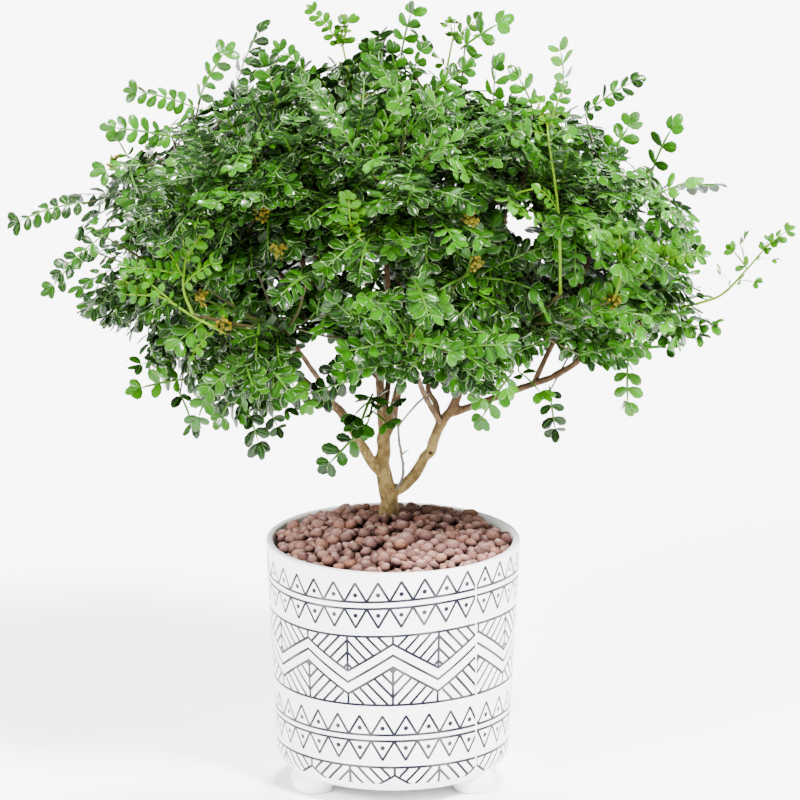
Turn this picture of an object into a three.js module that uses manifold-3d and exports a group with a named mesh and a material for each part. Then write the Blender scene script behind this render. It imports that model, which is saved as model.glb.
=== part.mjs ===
// A potted japanese pepper: a small woody plant with a dense crown of pinnate leaves, in a white ceramic
// pot on three feet, with baked clay pellets over the soil.
// Millimetres, +Z up. The origin is on the pot's axis, on the surface that its feet stand on.
// The front of the object faces -Y.
import * as THREE from 'three';
import { mergeVertices } from 'three/addons/utils/BufferGeometryUtils.js';
import Module from 'manifold-3d';

const wasm = await Module();
wasm.setup();

// Clearances
const GAP = 0.35; // between two pieces that touch on the real object
const WALL_GAP = 0.6; // at the pot's inner wall, whose faceted sides come closer than its corners
const CORE_MARGIN = 1.2; // each spray's core stays this far from the border with the next spray

// Pot
const RIM_HEIGHT = 125;
const RIM_RADIUS = 63.8;
const LOW_WALL_RADIUS = 58.2; // outer radius where the wall leaves the rounded lower edge
const LOW_WALL_HEIGHT = 18;
const UNDERSIDE_HEIGHT = 7.5;
const LOWER_EDGE_RADIUS = 10.5;
const WALL = 3.8;
const FLOOR_HEIGHT = 12.5; // the floor's upper face
const INNER_CORNER = 4; // inside, between the floor and the wall
const RIM_EDGE = 1.3;
const DRAIN_RADIUS = 5;
const POT_SEGMENTS = 36;
const FOOT_SEGMENTS = 12;
const SOIL_SEGMENTS = 24;
const FOOT_CIRCLE_RADIUS = 46.2;
const FOOT_TOP_RADIUS = 11.4;
const FOOT_BASE_RADIUS = 8.6;
const FOOT_COUNT = 3;
const FOOT_EDGE = 1.3; // the foot's rounded lower edge

// Soil and pellets
const SOIL_TOP = 114;
const BED_TOP = 124.2; // the pellets' bed at the pot's wall
const MOUND = 9; // how much higher the bed is at the middle
const PELLET_STEP = 8.4; // between the middles of neighbouring pellets, a little larger than life
const PELLET_HEIGHT = 4.2; // from the dip between pellets to a pellet's top

// Wood
const LIMB_SIDES = 6;
const BRANCH_SIDES = 5;
const TWIG_SIDES = 4;
const SHOOT_RADIUS = 1.1;
const SHOOT_TIP_RADIUS = 0.7;

// Leaves
const LEAF_THICKNESS = 1.5; // at the rib, where the two faces are furthest apart
const LEAF_LENGTH = 60;
// Leaflets on a leaf of LEAF_LENGTH, by the number of pairs: the more pairs, the smaller they are. first and
// last say where along the rib the outer pairs stand, as a share of the leaf's length.
const LEAFLETS = {
  2: { length: 20.5, width: 13.4, first: 0.3, last: 0.58 },
  3: { length: 17, width: 10.6, first: 0.24, last: 0.66 },
};
// A leaflet's outline between its two base corners: shares of its length, and of half its width.
const LEAFLET_OUTLINE = [[0.52, 1], [1, 0.12], [0.66, -0.92]];
const LEAFLET_ANGLE = 1.12; // radians, from the rib
const FIRST_PAIR_SIZE = 0.86; // the pair nearest the stalk is smaller
const HALF_RIB = 0.9; // half the winged rib's width
const HALF_LEAFLET_BASE = 1.5;
const LEAF_FOLD = 0.1; // how far a leaf's sides fall away from its rib, as a slope
const CROWN_CENTRE = new THREE.Vector3(0, 0, 270);
const CORE_RADIUS = 22;
const CORE_ROUGHNESS = 0.26;
const CORE_CLEARANCE = 1.4; // no spray's leaf comes closer to another spray's middle, in core radii
const LEAF_SLANT = 0.8; // how far a leaf leans away from standing straight out of its core
const LEAF_SEAT = 0.7; // where a leaf starts, as a share of the core's radius
const SEAT_SHARE = 0.5; // stalks start this share of the core's radius from its middle
const LEAVES_PER_SPRAY = 5;
const LEAF_DRAWS = 90; // places tried for each leaf
const LEAF_CLEARANCE = 6.4; // between points on the rule's leaves and whatever they must clear
const CROWN_UNDERSIDE = 208; // no leaf of the rule hangs lower
const CROWN_HALF_WIDTH = 172;
const CROWN_HALF_DEPTH = 146;

// Buds
const BUD_COUNT = 5;
const BUD_RADIUS = 2.8;
const BUD_SPREAD = 2.6;
const BUD_TURN = 2.4; // radians from one bud to the next

const COLOURS = {
  ceramic: { color: 0xf2f1ef, roughness: 0.45 },
  soil: { color: 0x3a2a20, roughness: 0.95 },
  pellets: { color: 0x8d5f50, roughness: 0.9 },
  bark: { color: 0x8a7350, roughness: 0.8 },
  leaf: { color: 0x1f6b2a, roughness: 0.35 },
  young: { color: 0x86c440, roughness: 0.45 },
  buds: { color: 0xb59a3a, roughness: 0.6 },
};

const v = (x, y, z) => new THREE.Vector3(x, y, z);

// Seeded draws, so that the plant grows in the same way each time.
function seededRandom(seed) {
  let state = seed >>> 0;
  return () => {
    state = (state + 0x6d2b79f5) >>> 0;
    let t = state;
    t = Math.imul(t ^ (t >>> 15), t | 1);
    t ^= t + Math.imul(t ^ (t >>> 7), t | 61);
    return ((t ^ (t >>> 14)) >>> 0) / 4294967296;
  };
}

// A direction drawn evenly over the sphere.
function randomDirection(random) {
  const z = 2 * random() - 1;
  const angle = 2 * Math.PI * random();
  const r = Math.sqrt(1 - z * z);
  return v(r * Math.cos(angle), r * Math.sin(angle), z);
}

// A closed geometry as a solid that can be joined and cut.
function solidOf(geometry) {
  const bare = geometry.clone();
  bare.deleteAttribute('normal');
  bare.deleteAttribute('uv');
  const merged = mergeVertices(bare, 1e-4);
  const index = merged.getIndex().array;
  const kept = [];
  for (let i = 0; i < index.length; i += 3) {
    const [a, b, c] = [index[i], index[i + 1], index[i + 2]];
    if (a !== b && b !== c && c !== a) kept.push(a, b, c);
  }
  return new wasm.Manifold(new wasm.Mesh({
    numProp: 3,
    vertProperties: new Float32Array(merged.getAttribute('position').array),
    triVerts: new Uint32Array(kept),
  }));
}

function joined(solids) {
  return solids.reduce((all, next) => all.add(next));
}

// The largest body of a solid: scraps that a cut leaves loose are dropped.
function largestBody(solid) {
  return solid.decompose().reduce((best, body) => (body.volume() > best.volume() ? body : best));
}

function geometryOf(solid) {
  const mesh = solid.getMesh();
  const geometry = new THREE.BufferGeometry();
  const positions = new Float32Array((mesh.vertProperties.length / mesh.numProp) * 3);
  for (let i = 0; i < positions.length / 3; i += 1) {
    for (let axis = 0; axis < 3; axis += 1) {
      positions[3 * i + axis] = mesh.vertProperties[mesh.numProp * i + axis];
    }
  }
  geometry.setAttribute('position', new THREE.BufferAttribute(positions, 3));
  geometry.setIndex(new THREE.BufferAttribute(new Uint32Array(mesh.triVerts), 1));
  geometry.computeVertexNormals();
  return geometry;
}

function namedMesh(name, solid, finish) {
  const material = new THREE.MeshStandardMaterial({ ...finish, metalness: 0 });
  const mesh = new THREE.Mesh(geometryOf(solid), material);
  mesh.name = name;
  return mesh;
}

// A turned solid: the profile's points are [radius, height] pairs, walked anticlockwise.
function turned(profile, segments) {
  const points = profile.map(([r, z]) => new THREE.Vector2(r, z));
  const geometry = new THREE.LatheGeometry(points, segments);
  geometry.rotateX(Math.PI / 2);
  return solidOf(geometry);
}

// A tapered stem through its points, bent smoothly. radii has one value for each point.
function stem(points, radii, sides, grow = 0) {
  const curve = new THREE.CatmullRomCurve3(points, false, 'centripetal');
  const steps = points.length - 1;
  const rings = [];
  let side = v(1, 0, 0);
  for (let i = 0; i <= steps; i += 1) {
    const t = i / steps;
    const tangent = curve.getTangent(t).normalize();
    side = side.clone().addScaledVector(tangent, -side.dot(tangent)).normalize();
    const across = tangent.clone().cross(side);
    const radius = radii[i] + grow;
    const centre = points[i].clone();
    if (i === 0) centre.addScaledVector(tangent, -grow);
    if (i === steps) centre.addScaledVector(tangent, grow);
    for (let k = 0; k < sides; k += 1) {
      const angle = (2 * Math.PI * k) / sides;
      const spoke = side.clone().multiplyScalar(Math.cos(angle)).addScaledVector(across, Math.sin(angle));
      rings.push(centre.clone().addScaledVector(spoke, radius));
    }
  }
  const index = [];
  for (let i = 0; i < steps; i += 1) {
    for (let k = 0; k < sides; k += 1) {
      const a = i * sides + k;
      const b = i * sides + ((k + 1) % sides);
      index.push(a, b, b + sides, a, b + sides, a + sides);
    }
  }
  for (let k = 1; k < sides - 1; k += 1) {
    index.push(0, k + 1, k);
    const last = steps * sides;
    index.push(last, last + k, last + k + 1);
  }
  return solidOf(indexed(rings, index));
}

function indexed(points, index) {
  const geometry = new THREE.BufferGeometry();
  geometry.setAttribute('position', new THREE.Float32BufferAttribute(points.flatMap((p) => p.toArray()), 3));
  geometry.setIndex(index);
  return geometry;
}

// A pinnate leaf: one thin blade cut to the rib in pairs of leaflets and an end leaflet. Both faces meet at
// the outline and are thickest along the rib. The rib runs from base to tip and arches by bend, a share of
// its length, towards up, which the leaf's upper face looks to. With a root, the leaf's stalk starts there.
function leafShape({ base, tip, up, root = null, bend = 0.08, pairs = 3, grow = 0 }) {
  const leaflets = LEAFLETS[pairs];
  const chord = tip.clone().sub(base);
  const length = chord.length();
  const scale = length / LEAF_LENGTH;
  const forward = chord.clone().normalize();
  const rise = up.clone().sub(forward.clone().multiplyScalar(up.dot(forward))).normalize();
  const place = (s, aside, height) => {
    const along = chord.clone().addScaledVector(rise, 4 * bend * length * (1 - 2 * s)).normalize();
    const left = rise.clone().cross(along).normalize();
    const normal = along.clone().cross(left);
    return base.clone()
      .addScaledVector(chord, s)
      .addScaledVector(rise, 4 * bend * length * s * (1 - s))
      .addScaledVector(left, aside)
      .addScaledVector(normal, height - LEAF_FOLD * Math.abs(aside));
  };
  const halfRib = HALF_RIB + grow;
  const leafletLength = leaflets.length * scale + grow;
  const halfWidth = (leaflets.width * scale) / 2 + grow;
  const halfBase = HALF_LEAFLET_BASE * scale + grow;
  const half = LEAF_THICKNESS / 2 + 1.6 * grow;
  const cos = Math.cos(LEAFLET_ANGLE);
  const sin = Math.sin(LEAFLET_ANGLE);

  // One side's outline from base to tip, in [share along the rib, distance aside].
  const nodes = [];
  const outline = [[-grow / length, halfRib]];
  for (let k = 0; k < pairs; k += 1) {
    const s = THREE.MathUtils.lerp(leaflets.first, leaflets.last, k / (pairs - 1));
    const size = k === 0 ? FIRST_PAIR_SIZE : 1;
    nodes.push(s);
    const at = (f, g) => [
      s + (f * leafletLength * size * cos - g * sin) / length,
      halfRib + f * leafletLength * size * sin + g * cos,
    ];
    outline.push([s - halfBase / length, halfRib]);
    LEAFLET_OUTLINE.forEach(([f, g]) => outline.push(at(f, g * halfWidth * size)));
    outline.push([s + halfBase / length, halfRib]);
  }
  const end = 1 - (leafletLength - grow) / length;
  const endNode = end + 0.45 * (1 - end);
  outline.push([end + 0.5 * (1 - end), halfWidth]);

  // Vertices: right outline, left outline, tip, then the ridge points above and below.
  const count = outline.length;
  const points = [];
  outline.forEach(([s, aside]) => points.push(place(s, -aside, 0)));
  outline.forEach(([s, aside]) => points.push(place(s, aside, 0)));
  const tipIndex = points.push(place(1 + grow / length, 0, 0)) - 1;
  const ridge = [0.08, ...nodes, endNode];
  const top = points.length;
  ridge.forEach((s) => points.push(place(s, 0, half)));
  const bottom = points.length;
  ridge.forEach((s) => points.push(place(s, 0, -half)));
  if (root) {
    const shift = root.clone().sub(base);
    [0, count, top, bottom].forEach((i) => points[i].add(shift));
  }

  const faces = []; // [ridge point, outline point, next outline point or ridge point]
  const right = (i) => i;
  const left = (i) => count + i;
  const addSide = (sideIndex, turnedRound) => {
    const put = (a, b, c) => faces.push(turnedRound ? [a, c, b] : [a, b, c]);
    put('r0', sideIndex(0), sideIndex(1));
    put('r0', sideIndex(1), 'r1');
    for (let k = 0; k < pairs; k += 1) {
      const first = 1 + 5 * k;
      for (let i = 0; i < 4; i += 1) put(`r${k + 1}`, sideIndex(first + i), sideIndex(first + i + 1));
      if (k < pairs - 1) {
        put(`r${k + 1}`, sideIndex(first + 4), sideIndex(first + 5));
        put(`r${k + 1}`, sideIndex(first + 5), `r${k + 2}`);
      }
    }
    const last = count - 2;
    put(`r${pairs}`, sideIndex(last), `r${pairs + 1}`);
    put(`r${pairs + 1}`, sideIndex(last), sideIndex(last + 1));
    put(`r${pairs + 1}`, sideIndex(last + 1), tipIndex);
  };
  addSide(right, false);
  addSide(left, true);
  faces.push(['r0', left(0), right(0)]);

  const index = [];
  const resolve = (name, start) => (typeof name === 'string' ? start + Number(name.slice(1)) : name);
  faces.forEach(([a, b, c]) => {
    index.push(resolve(a, top), resolve(b, top), resolve(c, top));
    index.push(resolve(a, bottom), resolve(c, bottom), resolve(b, bottom));
  });
  const leafletTips = [];
  for (let k = 0; k < pairs; k += 1) leafletTips.push(right(3 + 5 * k), left(3 + 5 * k));
  const samples = [...leafletTips, tipIndex].map((i) => points[i]);
  ridge.slice(1).forEach((s) => samples.push(place(s, 0, 0)));
  for (let k = 0; k < pairs; k += 1) {
    [right, left].forEach((sideIndex) => {
      samples.push(points[sideIndex(3 + 5 * k)].clone().lerp(place(nodes[k], 0, 0), 0.5));
    });
  }
  return { geometry: indexed(points, index), outline: points.slice(0, top), samples };
}

function leafSolid(leaf) {
  return solidOf(leafShape(leaf).geometry);
}

// Pot: a tapered wall, a rounded lower edge, a floor with a drain hole and three round feet.
function potSolid() {
  const edge = (angle, radius) => [
    LOW_WALL_RADIUS - LOWER_EDGE_RADIUS + radius * Math.cos(angle),
    LOW_WALL_HEIGHT + radius * Math.sin(angle),
  ];
  const outer = [0, 1, 2, 3].map((k) => edge(-Math.PI / 2 + (k * Math.PI) / 6, LOWER_EDGE_RADIUS));
  const profile = [
    [DRAIN_RADIUS, UNDERSIDE_HEIGHT],
    ...outer,
    [RIM_RADIUS, RIM_HEIGHT - RIM_EDGE],
    [RIM_RADIUS - RIM_EDGE, RIM_HEIGHT],
    [RIM_RADIUS - WALL + RIM_EDGE, RIM_HEIGHT],
    [RIM_RADIUS - WALL, RIM_HEIGHT - RIM_EDGE],
    [LOW_WALL_RADIUS - WALL, FLOOR_HEIGHT + INNER_CORNER],
    [LOW_WALL_RADIUS - WALL - INNER_CORNER, FLOOR_HEIGHT],
    [DRAIN_RADIUS, FLOOR_HEIGHT],
    [DRAIN_RADIUS, UNDERSIDE_HEIGHT],
  ];
  const top = FLOOR_HEIGHT - 0.6; // inside the floor's thickness
  const foot = turned([
    [0, 0],
    [FOOT_BASE_RADIUS, 0],
    [FOOT_BASE_RADIUS + FOOT_EDGE, FOOT_EDGE],
    [FOOT_TOP_RADIUS, UNDERSIDE_HEIGHT + 0.5],
    [FOOT_TOP_RADIUS - FOOT_EDGE, top],
    [0, top],
  ], FOOT_SEGMENTS);
  const feet = [];
  for (let k = 0; k < FOOT_COUNT; k += 1) {
    const angle = Math.PI / 2 + (2 * Math.PI * k) / FOOT_COUNT;
    feet.push(foot.translate([
      FOOT_CIRCLE_RADIUS * Math.cos(angle), FOOT_CIRCLE_RADIUS * Math.sin(angle), 0,
    ]));
  }
  return joined([turned(profile, POT_SEGMENTS), ...feet]);
}

// The pot's inner radius at a height.
function innerRadius(z) {
  const low = FLOOR_HEIGHT + INNER_CORNER;
  const share = (z - low) / (RIM_HEIGHT - RIM_EDGE - low);
  return THREE.MathUtils.lerp(LOW_WALL_RADIUS - WALL, RIM_RADIUS - WALL, share);
}

function soilSolid(holes) {
  const floor = FLOOR_HEIGHT + GAP;
  const corner = INNER_CORNER + WALL_GAP;
  const body = turned([
    [0, floor],
    [LOW_WALL_RADIUS - WALL - corner, floor],
    [innerRadius(floor + corner) - WALL_GAP, floor + corner],
    [innerRadius(SOIL_TOP) - WALL_GAP, SOIL_TOP],
    [0, SOIL_TOP],
  ], SOIL_SEGMENTS);
  return largestBody(body.subtract(holes));
}

// The pellets' bed rises to the middle.
function bedHeight(radius) {
  const share = radius / innerRadius(BED_TOP);
  return BED_TOP + MOUND * (1 - share * share);
}

// The pellets stand in relief on the bed: rows of mounds in a triangular layout, each a peak with six dips
// round it, moved a little by seeded draws.
function pelletsRelief(edge, low) {
  const random = seededRandom(11);
  const half = PELLET_STEP / 2;
  const rowStep = half * Math.sin(Math.PI / 3);
  const rows = 2 * Math.ceil(edge / rowStep) + 2;
  const columns = 2 * Math.ceil(edge / half) + 4;
  const points = [];
  for (let j = 0; j <= rows; j += 1) {
    for (let i = 0; i <= columns; i += 1) {
      const peak = j % 2 === 0 && (i + (j % 4 === 2 ? 1 : 0)) % 2 === 0;
      const x = (i - columns / 2 + (j % 2 ? 0.5 : 0)) * half + 0.9 * (random() - 0.5);
      const y = (j - rows / 2) * rowStep + 0.9 * (random() - 0.5);
      const rise = peak ? PELLET_HEIGHT * (0.7 + 0.35 * random()) : 0.5 * random();
      points.push(v(x, y, bedHeight(Math.hypot(x, y)) + rise));
    }
  }
  const index = [];
  const across = columns + 1;
  const under = points.length;
  points.slice().forEach((p) => points.push(v(p.x, p.y, low)));
  const quad = (a, b, c, d) => {
    index.push(a, b, c, a, c, d);
    index.push(under + a, under + c, under + b, under + a, under + d, under + c);
  };
  for (let j = 0; j < rows; j += 1) {
    for (let i = 0; i < columns; i += 1) {
      const a = j * across + i;
      if (j % 2) quad(a, a + 1, a + 1 + across, a + across);
      else quad(a + 1, a + 1 + across, a + across, a);
    }
  }
  const border = [];
  for (let i = 0; i < columns; i += 1) border.push(i);
  for (let j = 0; j < rows; j += 1) border.push(j * across + columns);
  for (let i = columns; i > 0; i -= 1) border.push(rows * across + i);
  for (let j = rows; j > 0; j -= 1) border.push(j * across);
  border.forEach((a, k) => {
    const b = border[(k + 1) % border.length];
    index.push(under + a, under + b, b, under + a, b, a);
  });
  return solidOf(indexed(points, index));
}

function pelletsSolid(holes) {
  const low = SOIL_TOP + GAP;
  const edge = innerRadius(low) - WALL_GAP;
  const top = bedHeight(0) + 2 * PELLET_HEIGHT;
  const disc = turned([[0, low], [edge, low], [edge, top], [0, top]], POT_SEGMENTS);
  return largestBody(disc.intersect(pelletsRelief(edge, low - 1)).subtract(holes));
}

// Wood: the forked stem, its limbs and the branches that carry the crown. Each row is one branch, with its
// points from the thick end and a radius for each point.
const STEM_BASE = [v(-2, 22, 84), v(-2, 22, 118), v(-2, 20.5, 130), v(-2, 18, 139), v(-3.3, 16, 148),
  v(-5.2, 16, 158), v(-4.6, 15, 166), v(-4.7, 14, 173), v(-2, 12.5, 180)];
const LIMBS = [
  [STEM_BASE, [3.5, 5, 5.4, 4.6, 4.3, 3.6, 3.4, 3.3, 3]],
  // the middle fork's two leaders
  [[v(-4.5, 14, 172), v(-6, 11, 190), v(-8, 7, 225), v(-16, 4, 275), v(-30, 4, 322)], [2.6, 2.3, 2, 1.7, 1.2]],
  [[v(-3, 13, 176), v(0, 12, 184), v(2, 9, 197), v(12, 5, 230), v(24, 2, 275), v(32, 2, 320)],
    [2.6, 2.4, 2.2, 1.9, 1.6, 1.2]],
  // the left limb
  [[v(-4, 16, 152), v(-9, 13.5, 158), v(-12.5, 12, 164), v(-17, 8, 173), v(-24.5, 2, 187.7),
    v(-31.5, -4, 196.7), v(-51.5, -12, 215.6), v(-76, -18, 240), v(-94, -20, 258)],
  [2.8, 2.7, 2.6, 2.5, 2.4, 2.3, 2, 1.6, 1.2]],
  // the right limb
  [[v(-1, 16, 143), v(6, 15, 148), v(11.5, 13, 155), v(15.5, 11, 163), v(18.8, 9, 167.5), v(21, 7, 175.4),
    v(24, 5, 182.7), v(28.3, 2, 190), v(31, -2, 196), v(35.5, -6, 207.7), v(48, -28, 232), v(62, -48, 250)],
  [3, 2.9, 2.8, 2.7, 2.7, 2.6, 2.5, 2.3, 2.2, 2, 1.6, 1.2]],
  // the low right limb
  [[v(27, 3, 188), v(39.5, -4, 194.6), v(58.5, -14, 204.8), v(80, -22, 215), v(94.5, -22, 226),
    v(104, -12, 248)],
  [2.1, 1.9, 1.8, 1.7, 1.5, 1.2]],
  // branches inside the crown, one to each spray that no limb above ends in
  [[v(23, 6, 182), v(21.5, 8, 192), v(18, 11, 204), v(34, 30, 230), v(66, 50, 252)], [1.7, 1.5, 1.4, 1.3, 1.1]],
  [[v(-28, -1, 192), v(-36, -22, 212), v(-48, -56, 240)], [1.6, 1.4, 1.1]],
  [[v(24, 4.6, 183), v(16, -22, 205), v(10, -60, 232), v(8, -76, 246)], [1.5, 1.4, 1.3, 1.1]],
  [[v(-70, -16, 235), v(-90, -6, 268), v(-104, 4, 308)], [1.5, 1.3, 1.1]],
  [[v(-7, 9, 215), v(-30, -16, 262), v(-54, -44, 306)], [1.6, 1.4, 1.1]],
  [[v(14, 4, 238), v(10, -22, 276), v(2, -52, 312)], [1.5, 1.3, 1.1]],
  [[v(36, -8, 210), v(44, -24, 256), v(56, -42, 304)], [1.5, 1.3, 1.1]],
  [[v(70, -18, 210), v(94, -8, 262), v(106, 2, 298)], [1.4, 1.3, 1.1]],
  [[v(-7, 10, 205), v(-34, 34, 228), v(-62, 56, 252)], [1.6, 1.4, 1.1]],
  [[v(-4, 12, 188), v(0, 40, 215), v(4, 74, 250)], [1.6, 1.4, 1.1]],
  [[v(-30, 31, 225), v(-50, 42, 268), v(-62, 48, 308)], [1.4, 1.3, 1.1]],
  [[v(0, 36, 212), v(-4, 46, 262), v(-8, 60, 310)], [1.5, 1.3, 1.1]],
  [[v(32, 28, 228), v(44, 40, 268), v(54, 52, 306)], [1.4, 1.3, 1.1]],
];
const DEAD_TWIG = [
  [[v(1, 14, 145), v(4.5, 11, 152), v(5, 9, 160), v(4, 8, 167), v(3, 7, 174), v(2.5, 6, 182.4)],
    [0.9, 0.75, 0.7, 0.7, 0.65, 0.6]],
  [[v(2.5, 6, 181), v(7, 4, 187.6), v(12.5, 2, 194.5)], [0.6, 0.55, 0.5]],
];

function woodSolid(grow) {
  const limbs = LIMBS.map(([points, radii]) => (
    stem(points, radii, points.length > 5 ? LIMB_SIDES : BRANCH_SIDES, grow)));
  const twigs = DEAD_TWIG.map(([points, radii]) => stem(points, radii, TWIG_SIDES, grow));
  return joined([...limbs, ...twigs]);
}

// Leaf sprays: each has a small rough core round its branch's end, and leaves that stand out of it. A row
// gives the name and the core's centre.
const SPRAYS = [
  ['leaf_spray_low_left', v(-98, -22, 262)],
  ['leaf_spray_low_front_left', v(-52, -66, 252)],
  ['leaf_spray_low_front', v(8, -80, 254)],
  ['leaf_spray_low_front_right', v(64, -58, 254)],
  ['leaf_spray_low_right', v(104, -6, 256)],
  ['leaf_spray_low_back_right', v(72, 58, 258)],
  ['leaf_spray_low_back', v(6, 80, 258)],
  ['leaf_spray_low_back_left', v(-66, 62, 258)],
  ['leaf_spray_high_left', v(-106, 8, 316)],
  ['leaf_spray_high_front_left', v(-60, -50, 316)],
  ['leaf_spray_high_front', v(0, -58, 320)],
  ['leaf_spray_high_front_right', v(62, -48, 314)],
  ['leaf_spray_high_right', v(110, 8, 308)],
  ['leaf_spray_high_back_right', v(58, 58, 316)],
  ['leaf_spray_high_back', v(-8, 66, 320)],
  ['leaf_spray_high_back_left', v(-66, 54, 318)],
  ['leaf_spray_top_left', v(-34, 4, 336)],
  ['leaf_spray_top_right', v(34, 4, 334)],
].map(([name, centre]) => ({ name, centre }));

// A leaf by its two ends and its arch. Its upper face looks up and away from the crown.
function placedLeaf([base, tip, bend]) {
  return { base, tip, bend, up: v(0, base.y > 30 ? 0.6 : -0.6, 0.8) };
}

// Leaves that give the crown its outline: where the leaf starts, where it ends, and its arch.
const OUTLINE_LEAVES = [
  [v(-148, -10, 300), v(-194, -10, 288), 0.1],
  [v(-102, -15, 350), v(-146, -20, 354), 0.1],
  [v(-112, -34, 338), v(-150, -46, 346), 0.1],
  [v(-78, -5, 352), v(-62, -5, 393), 0.05],
  [v(-138, -16, 266), v(-174, -18, 256), 0.1],
  [v(96, 2, 344), v(124, 0, 368), 0.08],
  [v(128, -8, 318), v(146, -12, 352), 0.08],
  [v(120, -45, 306), v(156, -52, 322), 0.08],
  [v(52, -36, 340), v(52, -40, 386), 0.06],
  [v(74, -30, 340), v(58, -30, 378), 0.08],
  [v(26, 0, 358), v(50, 0, 396), 0.08],
  [v(-74, -88, 232), v(-66, -92, 196), 0.1],
  [v(-98, -70, 244), v(-104, -78, 206), 0.1],
  [v(78, -72, 234), v(82, -78, 200), 0.1],
  [v(124, -36, 244), v(124, -44, 205), 0.1],
  [v(50, -86, 236), v(36, -92, 204), 0.1],
  [v(-14, -88, 232), v(-24, -96, 196), 0.1],
  [v(-30, 0, 362), v(-50, 4, 398), 0.08],
  [v(0, 108, 300), v(4, 160, 296), 0.1],
  [v(60, 98, 290), v(80, 142, 280), 0.1],
  [v(-66, 98, 300), v(-84, 142, 304), 0.1],
  [v(124, 40, 290), v(166, 60, 292), 0.1],
  [v(-122, 44, 290), v(-162, 62, 284), 0.1],
  [v(10, -110, 290), v(18, -160, 280), 0.1],
  [v(-40, -104, 290), v(-58, -148, 288), 0.1],
].map(placedLeaf);

// Young shoots: a stem, then its leaves with base, tip and arch.
const YOUNG_SHOOTS = [
  {
    name: 'young_shoot_top',
    stem: [v(-15.5, -10, 345), v(-20, -10, 366), v(-25, -10, 383)],
    leaves: [[v(-25, -10, 381), v(-41, -10, 402), 0.1], [v(-18, -10, 360), v(-2, -16, 382), 0.1]],
  },
  {
    name: 'young_shoot_left_low',
    stem: [v(-83, -95, 262), v(-102, -96, 268), v(-120, -92, 274)],
    leaves: [[v(-118, -92, 273), v(-134, -90, 300), 0.1], [v(-88, -97, 264), v(-104, -104, 244), 0.1],
      [v(-112, -95, 271), v(-148, -92, 262), 0.12]],
  },
  {
    name: 'young_shoot_left_high',
    stem: [v(-92, -74, 300), v(-104, -86, 300), v(-110, -90, 304)],
    leaves: [[v(-108, -89, 303), v(-140, -84, 310), 0.12], [v(-103, -84, 300), v(-92, -98, 328), 0.1]],
  },
  {
    name: 'young_shoot_front_left',
    stem: [v(-20, -90, 332), v(-24, -100, 338)],
    leaves: [[v(-23, -98, 337), v(-14, -112, 306), 0.12], [v(-21, -92, 334), v(-40, -104, 356), 0.1]],
  },
  {
    name: 'young_shoot_right_tall',
    stem: [v(82, -88, 276), v(81.5, -90, 300), v(81, -86, 322), v(78, -74, 345), v(79, -62, 362)],
    leaves: [[v(79, -63, 360), v(84, -50, 394), 0.08], [v(80, -82, 330), v(56, -92, 348), 0.1],
      [v(81.5, -90, 306), v(60, -104, 322), 0.1], [v(80, -80, 338), v(104, -84, 356), 0.1]],
  },
  {
    name: 'young_shoot_right_buds',
    stem: [v(109, -70, 268), v(112, -78, 284)],
    leaves: [[v(112, -78, 282), v(104, -86, 312), 0.1], [v(111, -77, 279), v(134, -84, 300), 0.1]],
  },
  {
    name: 'young_shoot_far_right',
    stem: [v(136, -18, 248), v(150, -20, 249.7), v(161.5, -20, 256.4), v(173, -20, 267.3),
      v(180, -20, 276)],
    leaves: [[v(178, -20, 273), v(197.5, -20, 291), 0.1], [v(166, -20, 261), v(190, -24, 262), 0.1]],
  },
  {
    name: 'young_shoot_right',
    stem: [v(128, -42, 266), v(136, -50, 272)],
    leaves: [[v(134, -49, 270), v(158, -54, 286), 0.1], [v(130, -44, 267), v(156, -44, 258), 0.1]],
  },
  {
    name: 'young_shoot_back',
    stem: [v(26, 64, 346), v(30, 68, 366)],
    leaves: [[v(29, 68, 363), v(46, 74, 388), 0.1], [v(27, 66, 350), v(8, 70, 372), 0.1]],
  },
].map((shoot) => ({ ...shoot, leaves: shoot.leaves.map(placedLeaf) }));

// Bud clusters, with where each sits.
const BUD_CLUSTERS = [
  ['bud_cluster_top', v(-14, -44, 362)],
  ['bud_cluster_front_left', v(-56, -100, 302)],
  ['bud_cluster_left', v(-138, -26, 326)],
  ['bud_cluster_front', v(11, -114, 262)],
  ['bud_cluster_front_right', v(40, -104, 296)],
  ['bud_cluster_right', v(120, -62, 252)],
];

function leafClear(samples, others, distance) {
  return samples.every((p) => others.every((q) => p.distanceToSquared(q) > distance * distance));
}

// How far a point is inside a spray's own cell, whose borders lie half-way to the neighbouring sprays.
function insideCell(spray, point) {
  let least = Infinity;
  SPRAYS.forEach((other) => {
    if (other === spray) return;
    const own = point.distanceToSquared(spray.centre);
    const theirs = point.distanceToSquared(other.centre);
    least = Math.min(least, (theirs - own) / (2 * spray.centre.distanceTo(other.centre)));
  });
  return least;
}

// A spray's core: a rough ball that stops short of the cell's borders.
function coreSolid(spray, random) {
  const geometry = new THREE.IcosahedronGeometry(1, 0);
  const bare = geometry.clone();
  bare.deleteAttribute('normal');
  bare.deleteAttribute('uv');
  const merged = mergeVertices(bare, 1e-4);
  const position = merged.getAttribute('position');
  for (let i = 0; i < position.count; i += 1) {
    const direction = new THREE.Vector3().fromBufferAttribute(position, i).normalize();
    let radius = CORE_RADIUS * (1 + CORE_ROUGHNESS * (2 * random() - 1));
    while (insideCell(spray, spray.centre.clone().addScaledVector(direction, radius)) < CORE_MARGIN) {
      radius *= 0.96;
    }
    const point = spray.centre.clone().addScaledVector(direction, radius);
    position.setXYZ(i, point.x, point.y, point.z);
  }
  return solidOf(merged);
}

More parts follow.
